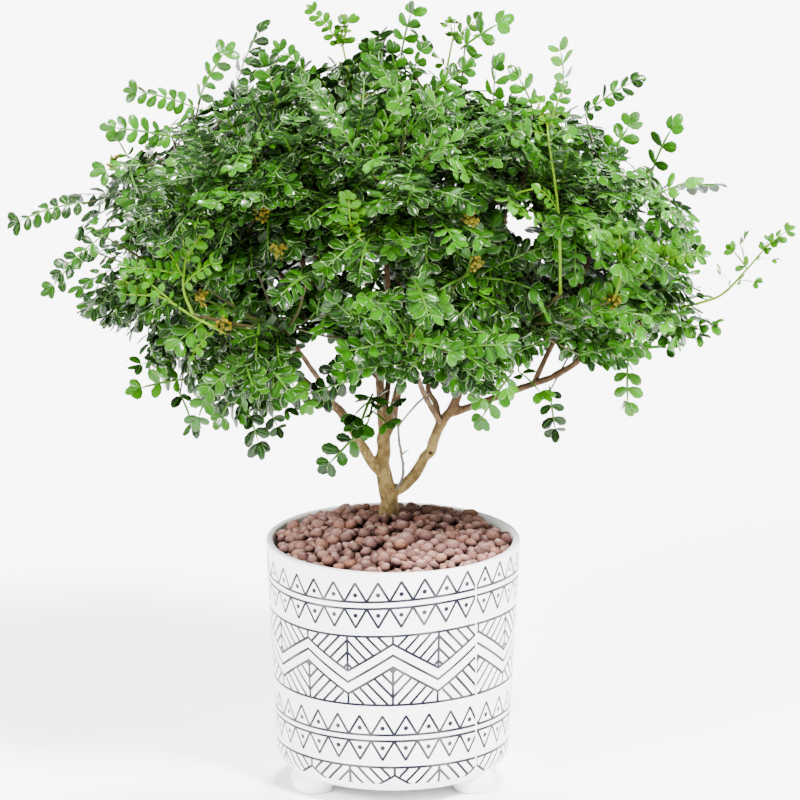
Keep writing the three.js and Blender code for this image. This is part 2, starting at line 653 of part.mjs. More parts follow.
// A leaf that stands out of a core at a slant, like a shingle, or null where it would point into the crown.
function drawLeaf(spray, random) {
  const outward = spray.centre.clone().sub(CROWN_CENTRE).normalize();
  const direction = randomDirection(random);
  const slant = randomDirection(random);
  const length = LEAF_LENGTH * (0.84 + 0.2 * random());
  const bend = 0.04 + 0.1 * random();
  if (direction.dot(outward) < -0.05) return null;
  slant.addScaledVector(direction, -slant.dot(direction)).normalize();
  const along = direction.clone().addScaledVector(slant, LEAF_SLANT).normalize();
  const base = spray.centre.clone().addScaledVector(direction, CORE_RADIUS * LEAF_SEAT);
  const up = direction.clone().setZ(direction.z + 0.35);
  return { base, tip: base.clone().addScaledVector(along, length), bend, up, pairs: 2 };
}

function leafFits(spray, shape, taken) {
  const low = shape.outline.some((p) => p.z < CROWN_UNDERSIDE);
  const wide = shape.outline.some((p) => Math.abs(p.x) > CROWN_HALF_WIDTH || Math.abs(p.y) > CROWN_HALF_DEPTH);
  if (low || wide) return false;
  const foreign = SPRAYS.some((other) => (
    other !== spray && shape.outline.some((p) => p.distanceTo(other.centre) < CORE_CLEARANCE * CORE_RADIUS)));
  return !foreign && leafClear(shape.samples, taken, LEAF_CLEARANCE);
}

// Leaves grow one to a spray in turn. Of many draws, the one that stands furthest from the leaves already
// there is kept, so that they cover the crown evenly.
function growCrown(taken) {
  const random = seededRandom(101);
  const grown = new Map(SPRAYS.map((spray) => [spray, []]));
  const middles = OUTLINE_LEAVES.map((leaf) => leaf.base.clone().lerp(leaf.tip, 0.6));
  for (let round = 0; round < LEAVES_PER_SPRAY; round += 1) {
    SPRAYS.forEach((spray) => {
      let best = null;
      let room = 0;
      for (let draw = 0; draw < LEAF_DRAWS; draw += 1) {
        const leaf = drawLeaf(spray, random);
        const shape = leaf && leafShape(leaf);
        if (!shape || !leafFits(spray, shape, taken)) continue;
        const middle = leaf.base.clone().lerp(leaf.tip, 0.6);
        const nearest = Math.min(...middles.map((other) => other.distanceTo(middle)));
        if (nearest > room) {
          best = { leaf, shape, middle };
          room = nearest;
        }
      }
      if (!best) return;
      grown.get(spray).push(best.leaf);
      taken.push(...best.shape.samples);
      middles.push(best.middle);
    });
  }
  return grown;
}

// The spray whose cell holds a point.
function sprayAt(point) {
  return SPRAYS.reduce((best, spray) => (insideCell(spray, point) > insideCell(best, point) ? spray : best));
}

// Where a stalk that leads to a point starts: inside the core of the spray whose cell holds the point.
function seatFor(point) {
  const { centre } = sprayAt(point);
  return centre.clone().lerp(point, (SEAT_SHARE * CORE_RADIUS) / centre.distanceTo(point));
}

function shootSolid(shoot, grow) {
  const points = [seatFor(shoot.stem[0]), ...shoot.stem];
  const taper = (SHOOT_RADIUS - SHOOT_TIP_RADIUS) / (points.length - 1);
  const radii = points.map((_, i) => SHOOT_RADIUS - taper * i);
  const leaves = shoot.leaves.map((leaf) => leafSolid({ ...leaf, grow }));
  return joined([stem(points, radii, TWIG_SIDES, grow), ...leaves]);
}

// A cluster of buds on a stalk, each bud on a step of a spiral round a small ball.
function budSolid([, centre], grow) {
  const balls = [];
  for (let k = 0; k < BUD_COUNT; k += 1) {
    const z = 1 - (2 * (k + 0.5)) / BUD_COUNT;
    const angle = k * BUD_TURN;
    const r = Math.sqrt(1 - z * z);
    const ball = new THREE.OctahedronGeometry(BUD_RADIUS + 1.6 * grow, 0);
    const place = centre.clone().addScaledVector(v(r * Math.cos(angle), r * Math.sin(angle), z), BUD_SPREAD);
    ball.translate(place.x, place.y, place.z);
    balls.push(solidOf(ball));
  }
  const stalk = stem([seatFor(centre), centre], [SHOOT_RADIUS, SHOOT_TIP_RADIUS], TWIG_SIDES, grow);
  return joined([stalk, ...balls]);
}

// Everything the rule's leaves must clear: the outline leaves, the shoots and the buds.
function fixedSamples() {
  const leaves = [...OUTLINE_LEAVES, ...YOUNG_SHOOTS.flatMap((shoot) => shoot.leaves)];
  const samples = leaves.flatMap((leaf) => leafShape(leaf).samples);
  YOUNG_SHOOTS.forEach((shoot) => {
    samples.push(...new THREE.CatmullRomCurve3(shoot.stem).getPoints(8));
  });
  BUD_CLUSTERS.forEach(([, centre]) => samples.push(centre));
  return samples;
}

// A spray's core and leaves in one body, cut clear of the wood, the shoots, the buds and the leaves of the
// sprays before it.
function spraySolid(spray, leaves, cuts, random) {
  const outline = OUTLINE_LEAVES.filter((leaf) => sprayAt(leaf.base) === spray)
    .map((leaf) => ({ ...leaf, root: seatFor(leaf.base) }));
  const own = [...leaves, ...outline];
  const solid = joined([coreSolid(spray, random), ...own.map(leafSolid)]);
  const body = largestBody(solid.subtract(joined(cuts)));
  cuts.push(...own.map((leaf) => leafSolid({ ...leaf, grow: GAP })));
  return body;
}

function buildPlant() {
  const group = new THREE.Group();
  const thickWood = woodSolid(GAP);
  group.add(namedMesh('pot', potSolid(), COLOURS.ceramic));
  group.add(namedMesh('soil', soilSolid(thickWood), COLOURS.soil));
  group.add(namedMesh('clay_pellets', pelletsSolid(thickWood), COLOURS.pellets));
  group.add(namedMesh('wood', woodSolid(0), COLOURS.bark));
  const cuts = [thickWood];
  YOUNG_SHOOTS.forEach((shoot) => {
    group.add(namedMesh(shoot.name, largestBody(shootSolid(shoot, 0)), COLOURS.young));
    cuts.push(shootSolid(shoot, GAP));
  });
  BUD_CLUSTERS.forEach((cluster) => {
    group.add(namedMesh(cluster[0], largestBody(budSolid(cluster, 0)), COLOURS.buds));
    cuts.push(budSolid(cluster, GAP));
  });
  const grown = growCrown(fixedSamples());
  const random = seededRandom(7);
  SPRAYS.forEach((spray) => {
    group.add(namedMesh(spray.name, spraySolid(spray, grown.get(spray), cuts, random), COLOURS.leaf));
  });
  return group;
}

export default buildPlant();
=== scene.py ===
# %% [markdown]
# A potted Japanese pepper, built around its imported CAD model.
# The plant is a small tree with a dense crown of feathered leaves. It stands
# in a bed of baked clay pellets, in a white ceramic pot with a line pattern.
# The CAD model gives every place and size. This lesson replaces its plain
# solids with finer surfaces, each worked out as numpy arrays, and gives each
# surface a material made of nodes. Every piece stays where its solid is.

# %% Load the frame
import math

import bpy
import numpy as np
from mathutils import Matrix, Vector


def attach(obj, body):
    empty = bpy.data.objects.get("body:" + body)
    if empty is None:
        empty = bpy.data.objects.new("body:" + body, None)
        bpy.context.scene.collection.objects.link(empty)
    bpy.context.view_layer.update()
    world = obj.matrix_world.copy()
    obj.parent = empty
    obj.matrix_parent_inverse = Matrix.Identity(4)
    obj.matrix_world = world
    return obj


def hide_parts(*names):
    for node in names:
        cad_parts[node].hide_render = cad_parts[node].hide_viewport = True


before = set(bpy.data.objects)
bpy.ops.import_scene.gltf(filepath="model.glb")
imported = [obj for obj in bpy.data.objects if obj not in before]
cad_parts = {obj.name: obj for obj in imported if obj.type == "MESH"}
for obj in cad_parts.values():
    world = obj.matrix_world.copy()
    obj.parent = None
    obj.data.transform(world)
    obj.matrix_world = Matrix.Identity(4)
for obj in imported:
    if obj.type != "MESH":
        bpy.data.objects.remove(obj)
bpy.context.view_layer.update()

# %% [markdown]
# ## Camera
# The photograph was taken from far away with a long lens, a little above the
# rim. A long lens keeps the pot's sides nearly parallel. The camera comes
# first, because every later step is judged through it.

# %% Camera at the photograph's angle
ELEVATION = math.radians(16)
DISTANCE = 7.2  # metres
TARGET = (0.0035, 0.0, 0.1966)
LENS, SENSOR = 648, 36  # millimetres

camera_data = bpy.data.cameras.new("camera")
camera_data.lens = LENS
camera_data.sensor_width = SENSOR
camera_data.clip_start = 0.1
camera_data.clip_end = 50
camera = bpy.data.objects.new("camera", camera_data)
bpy.context.scene.collection.objects.link(camera)
camera.location = (
    TARGET[0],
    TARGET[1] - DISTANCE * math.cos(ELEVATION),
    TARGET[2] + DISTANCE * math.sin(ELEVATION),
)
camera.rotation_euler = (math.pi / 2 - ELEVATION, 0, 0)
bpy.context.scene.camera = camera
print("camera", round(DISTANCE, 2), "m away")

# %% [markdown]
# ## From arrays to meshes
# All shapes are worked out in millimetres, as arrays of points and of faces.
# One helper turns them into a mesh in metres, and another makes the piece
# ride on the CAD body, names its material slot and hides the node that it
# stands for. Edges between a blade's upper and lower side are marked sharp,
# so that light breaks there as it does on a real leaf's rim.

# %% Helpers for meshes and pieces
MM = 0.001


def mesh_from(name, points, face_groups, attributes=None, rim=None):
    """A mesh from points in mm (n, 3) and groups of faces, each (m, 3) or (m, 4).

    attributes maps a name to one row of three numbers for each point. rim is a
    yes or no for each point: an edge whose two ends are both on the rim is sharp.
    """
    mesh = bpy.data.meshes.new(name)
    corners = np.concatenate([g.ravel() for g in face_groups]).astype(np.int32)
    sizes = np.concatenate([np.full(len(g), g.shape[1]) for g in face_groups])
    starts = np.concatenate([[0], np.cumsum(sizes)[:-1]]).astype(np.int32)
    mesh.vertices.add(len(points))
    mesh.vertices.foreach_set("co", (points * MM).astype(np.float32).ravel())
    mesh.loops.add(len(corners))
    mesh.loops.foreach_set("vertex_index", corners)
    mesh.polygons.add(len(sizes))
    mesh.polygons.foreach_set("loop_start", starts)
    mesh.polygons.foreach_set("use_smooth", np.ones(len(sizes), bool))
    mesh.update(calc_edges=True)
    for key, rows in (attributes or {}).items():
        made = mesh.attributes.new(key, "FLOAT_VECTOR", "POINT")
        made.data.foreach_set("vector", rows.astype(np.float32).ravel())
    if rim is not None:
        ends = np.zeros(len(mesh.edges) * 2, np.int32)
        mesh.edges.foreach_get("vertices", ends)
        sharp = mesh.attributes.new("sharp_edge", "BOOLEAN", "EDGE")
        sharp.data.foreach_set("value", rim[ends.reshape(-1, 2)].all(axis=1))
    mesh.validate()
    return mesh


def piece_from(name, mesh, material, stands_for=()):
    """Links the mesh as a piece that rides on the body and stands for CAD nodes."""
    piece = bpy.data.objects.new(name, mesh)
    bpy.context.scene.collection.objects.link(piece)
    mesh.materials.clear()
    mesh.materials.append(material)
    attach(piece, "root")
    if stands_for:
        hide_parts(*stands_for)
    mesh.calc_loop_triangles()
    print(name, len(mesh.vertices), "points", len(mesh.loop_triangles), "triangles")


def grid_faces(rows, columns):
    """Quads of a grid of points, row by row, the last column joined to the first."""
    r, c = np.meshgrid(np.arange(rows - 1), np.arange(columns), indexing="ij")
    a = (r * columns + c).ravel()
    b = (r * columns + (c + 1) % columns).ravel()
    return np.stack([a, b, b + columns, a + columns], axis=1)


def cut(quads):
    """Each quad as two triangles."""
    return np.vstack([quads[:, [0, 1, 2]], quads[:, [0, 2, 3]]])


def copies(faces, count, size):
    """The faces of this many copies of a shape that has size points."""
    return (faces[None] + np.arange(count)[:, None, None] * size).reshape(-1, faces.shape[1])


def joined(parts):
    """Joins (points, face groups) pairs into one pair."""
    points, groups, count = [], [], 0
    for part_points, part_groups in parts:
        points.append(part_points)
        groups.extend(group + count for group in part_groups)
        count += len(part_points)
    return np.vstack(points), groups


# %% [markdown]
# ## Shader maths
# A pattern or a colour that changes over a surface is a formula. Written as
# nodes by hand it is hard to read, so one small class wraps a socket, and the
# usual signs on it add the Math nodes. Every other node comes from `node`.

# %% A socket that can be reckoned with
class Sock:
    """One socket of a node tree. Arithmetic on it adds Math nodes to the tree."""

    def __init__(self, tree, socket=None):
        self.tree = tree
        self.socket = socket

    def node(self, kind, settings=None, inputs=None, output=0):
        """Adds a node: first its settings, then the values or links of its sockets."""
        made = self.tree.nodes.new("ShaderNode" + kind)
        for key, value in (settings or {}).items():
            if key == "stops":
                stops = made.color_ramp.elements
                while len(stops) < len(value):
                    stops.new(0.5)
                for stop, (position, colour) in zip(stops, value):
                    stop.position = position
                    stop.color = (*colour, 1)
            else:
                setattr(made, key, value)
        for key, value in (inputs or {}).items():
            if isinstance(value, Sock):
                self.tree.links.new(value.socket, made.inputs[key])
            else:
                made.inputs[key].default_value = value
        return Sock(self.tree, made.outputs[output])

    def reckon(self, operation, *values):
        """A Math node on these values."""
        return self.node("Math", {"operation": operation}, dict(enumerate(values)))

    def maths(self, operation, *others):
        """A Math node on this socket and any further values."""
        return self.reckon(operation, self, *others)

    def __add__(self, other):
        return self.maths("ADD", other)

    def __radd__(self, other):
        return self.reckon("ADD", other, self)

    def __sub__(self, other):
        return self.maths("SUBTRACT", other)

    def __rsub__(self, other):
        return self.reckon("SUBTRACT", other, self)

    def __mul__(self, other):
        return self.maths("MULTIPLY", other)

    def __rmul__(self, other):
        return self.reckon("MULTIPLY", other, self)

    def __truediv__(self, other):
        return self.maths("DIVIDE", other)

    def __abs__(self):
        return self.maths("ABSOLUTE")

    def over(self, other):
        """The larger of the two."""
        return self.maths("MAXIMUM", other)

    def ramp(self, low, high, start=0.0, end=1.0):
        """Rises smoothly from start at low to end at high, and stays there."""
        places = {"Value": self, "From Min": low, "From Max": high, "To Min": start, "To Max": end}
        return self.node("MapRange", {"interpolation_type": "SMOOTHSTEP"}, places)

    def blend(self, first, second):
        """A colour that goes from the first to the second as this goes from 0 to 1."""
        return self.node("Mix", {"data_type": "RGBA"}, {0: self, 6: first, 7: second}, 2)

    def parts(self):
        """The three parts of a vector."""
        made = self.node("SeparateXYZ", None, {0: self}).socket.node
        return [Sock(self.tree, socket) for socket in made.outputs]


def rgb(red, green, blue):
    """A colour in linear light for a node's socket."""
    return (red, green, blue, 1.0)


def new_finish(name, **constants):
    """A material with constant sockets set, its shader and its Object coordinates."""
    material = bpy.data.materials.new(name)
    material.use_nodes = True
    tree = material.node_tree
    shader = tree.nodes["Principled BSDF"]
    for key, value in constants.items():
        shader.inputs[key.replace("_", " ")].default_value = value
    return material, shader, Sock(tree).node("TexCoord", None, None, "Object")


def wire(shader, socket_name, value):
    """Links a value to a socket of the shader."""
    value.tree.links.new(value.socket, shader.inputs[socket_name])


def carried(place, name):
    """The three numbers that the mesh's points carry under this name."""
    return place.node("Attribute", {"attribute_name": name}, None, "Vector").parts()


def noise(place, scale, detail=2.0, roughness=0.5):
    """Noise from 0 to 1 at a scale per metre of the place's coordinates."""
    sockets = {"Vector": place, "Scale": scale, "Detail": detail, "Roughness": roughness}
    return place.node("TexNoise", None, sockets)


def relief(shader, height, distance):
    """A Bump node from a height of 0 to 1, distance metres deep, on the shader's normal."""
    wire(shader, "Normal", height.node("Bump", None, {"Height": height, "Distance": distance}))


# %% [markdown]
# ## The pot's shape
# The pot is a thrown shape: one closed profile turned about the axis, with
# rounded rim, lower edge and inner corner. A hole in the floor drains it. Three
# short tapered feet stand under it, each a turned shape of its own that sinks
# into the underside, as thrown feet are luted on.

# %% The pot's profile, turned
RIM_RADIUS, RIM_HEIGHT = 63.8, 125.0
LOW_RADIUS, LOW_HEIGHT = 58.2, 18.0
LOWER_EDGE, WALL, RIM_EDGE, INNER_CORNER = 10.5, 3.8, 1.5, 4.0
FLOOR_TOP, UNDERSIDE, DRAIN_RADIUS = 12.5, 7.5, 5.0
POT_SEGMENTS = 160


def arc(centre, radius, start, end, steps):
    """Points (r, z) = centre + radius (cos a, sin a), with a from start to end degrees."""
    a = np.radians(np.linspace(start, end, steps))
    return np.stack([centre[0] + radius * np.cos(a), centre[1] + radius * np.sin(a)], axis=1)


def turned(profile, segments, ring):
    """Turns a profile (r, z) about the Z axis: (r cos a, r sin a, z).

    A ring's profile is a closed loop away from the axis. Any other profile
    starts and ends at a pole on the axis, where one point closes the surface.
    """
    a = np.arange(segments) * 2 * np.pi / segments
    body = profile if ring else profile[1:-1]
    r, z = body[:, :1], body[:, 1:]
    points = np.stack([r * np.cos(a), r * np.sin(a), z + 0 * a], axis=2).reshape(-1, 3)
    if ring:
        return points, [grid_faces(len(body) + 1, segments) % len(points)]
    k = np.arange(segments)
    last = (len(body) - 1) * segments
    foot = np.stack([np.full(segments, len(points)), (k + 1) % segments, k], axis=1)
    top = np.full(segments, len(points) + 1)
    head = np.stack([top, last + k, last + (k + 1) % segments], axis=1)
    poles = np.array([[0, 0, profile[0, 1]], [0, 0, profile[-1, 1]]])
    return np.vstack([points, poles]), [grid_faces(len(body), segments), foot, head]


wall_profile = np.vstack([
    [[DRAIN_RADIUS + 0.5, UNDERSIDE]],
    arc((LOW_RADIUS - LOWER_EDGE, LOW_HEIGHT), LOWER_EDGE, -90, 0, 9),
    [[LOW_RADIUS + (RIM_RADIUS - LOW_RADIUS) * 0.5, (LOW_HEIGHT + RIM_HEIGHT) / 2]],
    arc((RIM_RADIUS - RIM_EDGE, RIM_HEIGHT - RIM_EDGE), RIM_EDGE, 0, 90, 6),
    arc((RIM_RADIUS - WALL + RIM_EDGE, RIM_HEIGHT - RIM_EDGE), RIM_EDGE, 90, 180, 6),
    arc((LOW_RADIUS - WALL - INNER_CORNER, FLOOR_TOP + INNER_CORNER), INNER_CORNER, 0, -90, 5),
    [[DRAIN_RADIUS + 0.5, FLOOR_TOP], [DRAIN_RADIUS, FLOOR_TOP - 0.5]],
    [[DRAIN_RADIUS, UNDERSIDE + 0.5]],
])
FOOT_CIRCLE, FOOT_TOP, FOOT_BASE, FOOT_COUNT = 46.2, 11.4, 8.6, 3
foot_profile = np.vstack([
    [[0, 0]],
    arc((FOOT_BASE - 0.4, 1.7), 1.7, -90, -15, 5),
    arc((FOOT_TOP - 1.6, UNDERSIDE - 0.5), 1.6, 0, 60, 3),
    [[FOOT_TOP - 2.5, FLOOR_TOP - 0.8], [0, FLOOR_TOP - 0.8]],
])
pot_parts = [turned(wall_profile, POT_SEGMENTS, True)]
for turn in np.radians(90 + 360 / FOOT_COUNT * np.arange(FOOT_COUNT)):
    foot_points, foot_groups = turned(foot_profile, 40, False)
    away = [FOOT_CIRCLE * math.cos(turn), FOOT_CIRCLE * math.sin(turn), 0]
    pot_parts.append((foot_points + away, foot_groups))
print("pot profile", len(wall_profile), "points, foot profile", len(foot_profile))

# %% [markdown]
# ## The pot's pattern
# The white body carries a printed pattern of thin dark blue lines: rows of
# small triangles with a dot in each, level lines, and a broad band of three
# zigzags between hatched fields. All of it is drawn from three numbers: the
# height, the angle about the axis, and the distance along the wall. The print
# is one sheet, so it has a seam, where each line stops short. The sheet lies a
# little askew: its upper lines rise towards the right, which is taken off the
# height before the pattern reads it.

# %% Lines as formulas
LINE_HALF, LINE_SOFT = 0.66, 0.12  # millimetres
DOT_RADIUS = 1.2
TRIANGLE_HEIGHT = 10.0
HATCH_SLOPE = 1.07
HATCH_CLEAR = 2.3  # the hatching keeps this far from the short uprights
SEAM_GAP = 0.5
SHEET_SWING, SHEET_SHIFT = 2.08, 0.47  # how askew the sheet lies, in mm

porcelain, pot_shader, pot_place = new_finish(
    "glazed_ceramic", Coat_Weight=0.0, Specular_IOR_Level=0.12, IOR=1.5)
in_mm = pot_place.node("VectorMath", {"operation": "SCALE"}, {0: pot_place, "Scale": 1000})
x, y, z = in_mm.parts()
angle = x.maths("ARCTAN2", y * -1) * (180 / math.pi)
turn = abs(angle)
fitted_turn = turn - (turn - 65).over(0) * 0.0574  # stretched at the back to eight even periods
askew = (angle * (math.pi / 90)).maths("SINE") * SHEET_SWING + SHEET_SHIFT
level = z - askew * ((z - 22) / 88)
from_axis = (x * x + y * y).maths("SQRT")
WALL_SLOPE = (RIM_RADIUS - LOW_RADIUS) / (RIM_HEIGHT - LOW_HEIGHT)
wall_radius = (z - LOW_HEIGHT) * WALL_SLOPE + LOW_RADIUS
per_degree = wall_radius * (math.pi / 180)  # millimetres of wall for a degree


def line(distance, half=LINE_HALF):
    """1 on the line, 0 away from it, for a distance in mm from its middle."""
    return abs(distance).ramp(half - LINE_SOFT, half + LINE_SOFT, 1, 0)


def between(value, low, high):
    """1 where the value lies between low and high."""
    return value.maths("GREATER_THAN", low) * value.maths("LESS_THAN", high)


def triangle_row(base, way, pitch, shift):
    """A row of triangles on the line at height base, pointing up (1) or down (-1)."""
    slope_run = (angle - shift).maths("PINGPONG", pitch / 2)
    side = base + slope_run * (way * TRIANGLE_HEIGHT / (pitch / 2))
    reach = pitch / 2 * 1.07  # half a triangle's width in mm
    cosine = reach / math.hypot(reach, TRIANGLE_HEIGHT)
    sides = line((level - side) * cosine)
    aside = (pitch / 2 - slope_run) * per_degree
    off = level - (base + way * 0.36 * TRIANGLE_HEIGHT)
    from_dot = (aside * aside + off * off).maths("SQRT")
    dots = from_dot.ramp(DOT_RADIUS - 0.15, DOT_RADIUS + 0.15, 1, 0)
    low, high = sorted((base, base + way * (TRIANGLE_HEIGHT + 0.4)))
    return sides.over(dots) * between(level, low, high)


def zigzag(period, peak, drop, share):
    """Distance in mm from a zigzag that has a peak at the front, and its height."""
    height = peak - share * drop
    run = period / 2 * 1.05
    return (level - height) * (run / math.hypot(run, drop)), height


def broad_band(swing, period, drop_by, top, first_apex, rows):
    """The hatched field above, its upright lines and the zigzags, moved down by drop_by."""
    share = swing.maths("PINGPONG", period / 2) / (period / 2)  # 0 at a peak, 1 at a valley
    from_peak = share * (period / 2) * per_degree
    from_valley = (1 - share) * (period / 2) * per_degree
    lines, heights = None, []
    for peak in rows:
        distance, height = zigzag(period, peak - drop_by, ZIGZAG_DROP, share)
        heights.append(height)
        lines = line(distance) if lines is None else lines.over(line(distance))
    above = level.maths("GREATER_THAN", heights[0]) * level.maths("LESS_THAN", top - drop_by)
    wave = level + from_valley * HATCH_SLOPE - (first_apex - drop_by)
    nearest = wave.maths("WRAP", -HATCH_GAP / 2, HATCH_GAP / 2)
    hatch = line(nearest * (1 / math.hypot(1, HATCH_SLOPE)))
    hatch = hatch * from_peak.maths("GREATER_THAN", HATCH_CLEAR)
    uprights = line(from_valley).over(line(from_peak))
    return lines.over(above * hatch.over(uprights)), heights[-1], from_peak, from_valley


ZIGZAGS = (87.5, 81.5, 75.3)
ZIGZAG_DROP, HATCH_GAP, LOW_HATCH_GAP = 14.5, 6.35, 6.5
FIELD_TOP, FIELD_LOW, FIRST_APEX, LOW_APEX = 91.6, 55.3, 89.5, 59.4
FOOT_BAND_TOP, PRINT_LOW, PRINT_TOP = 22.3, 12.7, 123.3
TRIANGLE_ROWS = (  # line, up or down, how many, how far round
    (109.9, 1, 34, -1.45), (106.3, -1, 34, -1.45), (39.4, 1, 32, 0.6), (36.2, -1, 32, 0.6))
upper, lowest, from_peak, from_valley = broad_band(
    fitted_turn, 43.35, 0.0, FIELD_TOP, FIRST_APEX, ZIGZAGS)
below = level.maths("LESS_THAN", lowest) * level.maths("GREATER_THAN", FIELD_LOW)
low_wave = level - from_peak * HATCH_SLOPE - LOW_APEX
low_wave = low_wave.maths("WRAP", -LOW_HATCH_GAP / 2, LOW_HATCH_GAP / 2)
low_hatch = line(low_wave * (1 / math.hypot(1, HATCH_SLOPE)))
low_hatch = low_hatch * from_valley.maths("GREATER_THAN", HATCH_CLEAR)
low_field = below * low_hatch.over(line(from_peak)).over(line(from_valley))
middle = (upper * between(level, FIELD_LOW, FIELD_TOP)).over(low_field)
foot_band = broad_band(angle - 0.9, 45.0, 69.3, FIELD_TOP, FIRST_APEX, ZIGZAGS)[0]

pattern = middle.over(foot_band * between(level, PRINT_LOW, FOOT_BAND_TOP))
for height in (FIELD_TOP, FIELD_LOW, FOOT_BAND_TOP):
    pattern = pattern.over(line(level - height))
for base, way, count, shift in TRIANGLE_ROWS:
    pattern = pattern.over(line(level - base)).over(triangle_row(base, way, 360 / count, shift))
seam_angle = 46.4 - z * 0.049
off_seam = abs((angle - seam_angle) * per_degree).maths("GREATER_THAN", SEAM_GAP)
outside = from_axis.maths("GREATER_THAN", wall_radius - 1)
pattern = pattern * off_seam * outside * between(z, PRINT_LOW, PRINT_TOP)
print("pattern nodes", len(porcelain.node_tree.nodes))

# %% The glaze
worn = noise(pot_place, 60, 3)
print_strength = worn.ramp(0.25, 0.6, 0.93, 1.0)
cloud = noise(pot_place, 14, 2)
glaze = cloud.blend(rgb(0.93, 0.925, 0.925), rgb(0.965, 0.965, 0.965))
ink = rgb(0.003, 0.0035, 0.010)
wire(pot_shader, "Base Color", (pattern * print_strength).blend(glaze, ink))
wire(pot_shader, "Roughness", worn.ramp(0.3, 0.7, 0.34, 0.46))
relief(pot_shader, noise(pot_place, 220, 3), 0.00012)
pot_mesh = mesh_from("glazed_pot", *joined(pot_parts))
piece_from("glazed_pot", pot_mesh, porcelain, ["pot"])

# %% [markdown]
# ## Growing medium
# The potting mix hardly shows: it fills the pot under the pellets. Its CAD
# solid has the right shape, so it only gets a dark, crumbly material.

# %% Soil material on the CAD node
soil_finish, soil_shader, soil_place = new_finish("potting_mix", Roughness=0.95)
crumbs = noise(soil_place, 420, 6, 0.65)
wire(soil_shader, "Base Color", crumbs.blend(rgb(0.012, 0.008, 0.006), rgb(0.07, 0.045, 0.03)))
relief(soil_shader, crumbs, 0.0015)
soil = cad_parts["soil"]
soil.data.materials.clear()
soil.data.materials.append(soil_finish)
print("soil keeps its solid")

# %% [markdown]
# ## Baked clay pellets
# Several hundred small lumps cover the soil, in brown, mauve and terracotta,
# with dark gaps between them. Each is a ball of 80 faces, stretched, dented and
# turned at random, in two layers: a lower one on the soil that closes the gaps,
# and an upper one that rises to a slight mound round the stem. Every point
# carries a tone of its pellet and its height on it, for patchy dust, paler tops,
# and a painted shade on each pellet's lower side.

# %% Pellets as dented balls
import bmesh

BED_TOP, MOUND, BED_RADIUS = 124.2, 9.0, 59.9
PELLET_PITCH, PELLET_DENT = 6.9, 0.085
STEM_X, STEM_Y, STEM_CLEAR = -2.0, 21.0, 6.6
rng = np.random.default_rng(11)


def ball_template(subdivisions):
    """Points and triangles of a ball of radius 1."""
    ball = bmesh.new()
    bmesh.ops.create_icosphere(ball, subdivisions=subdivisions, radius=1)
    points = np.array([v.co for v in ball.verts])
    faces = np.array([[v.index for v in f.verts] for f in ball.faces])
    ball.free()
    return points, faces


def unit(vectors):
    """Vectors brought to length 1."""
    return vectors / np.linalg.norm(vectors, axis=-1, keepdims=True)


def random_turns(count, source):
    """Random rotation matrices (count, 3, 3): two random directions made square to each other."""
    first = unit(source.normal(size=(count, 3)))
    second = source.normal(size=(count, 3))
    second = unit(second - first * (first * second).sum(1, keepdims=True))
    return np.stack([first, second, np.cross(first, second)], axis=1)


def lattice(pitch, radius, shift):
    """Points of a triangular lattice inside a circle."""
    count = int(radius / pitch) + 2
    steps = np.arange(-count, count + 1)
    row, column = np.meshgrid(steps, steps, indexing="ij")
    x = (column + 0.5 * (row % 2)).ravel() * pitch + shift[0]
    y = row.ravel() * pitch * math.sqrt(3) / 2 + shift[1]
    keep = np.hypot(x, y) < radius
    return np.stack([x[keep], y[keep]], axis=1)


def lumps(centres, sizes, source, dent):
    """Balls at the centres: each point p becomes R (size p (1 + dent sum cos(k p + phase))).

    Also gives each point's height above its own centre, from -1 to 1.
    """
    points, faces = ball_template(2)
    count = len(centres)
    waves = source.normal(size=(count, 3, 3)) * 1.9
    phases = source.uniform(0, 2 * np.pi, (count, 3))
    swell = np.cos(np.einsum("nwk,pk->npw", waves, points) + phases[:, None]).sum(axis=2)
    shaped = points[None] * (1 + dent * swell)[..., None] * sizes[:, None]
    shaped = np.einsum("npk,nkj->npj", shaped, random_turns(count, source))
    own_height = shaped[..., 2] / np.abs(shaped[..., 2]).max(axis=1, keepdims=True)
    shaped = shaped + centres[:, None]
    return shaped.reshape(-1, 3), copies(faces, count, len(points)), own_height.ravel()


upper_spots = lattice(PELLET_PITCH, BED_RADIUS - 2.6, (0.4, 0.2))
lower_spots = lattice(PELLET_PITCH, BED_RADIUS - 3.4, (3.8, 2.1))
upper_spots = upper_spots + rng.uniform(-1.4, 1.4, upper_spots.shape)
lower_spots = lower_spots + rng.uniform(-0.6, 0.6, lower_spots.shape)


def bed(spots):
    """Height of the mound: top + mound (1 - (r / R)^2)."""
    return BED_TOP + MOUND * (1 - (np.hypot(spots[:, 0], spots[:, 1]) / BED_RADIUS) ** 2)


upper_z = bed(upper_spots) - 2.4 + rng.uniform(-1.9, 1.3, len(upper_spots))
lower_z = bed(lower_spots) - 5.4 + rng.uniform(-0.5, 0.5, len(lower_spots))
centres = np.column_stack([np.vstack([upper_spots, lower_spots]), np.append(upper_z, lower_z)])
centres = centres[np.hypot(centres[:, 0] - STEM_X, centres[:, 1] - STEM_Y) > STEM_CLEAR]
sizes = rng.uniform(2.7, 3.9, (len(centres), 1)) * rng.uniform(0.70, 1.24, (len(centres), 3))
pellet_points, pellet_faces, own_height = lumps(centres, sizes, rng, PELLET_DENT)
tone = np.repeat(rng.uniform(0, 1, (len(centres), 3)), len(own_height) // len(centres), axis=0)
tone[:, 2] = own_height

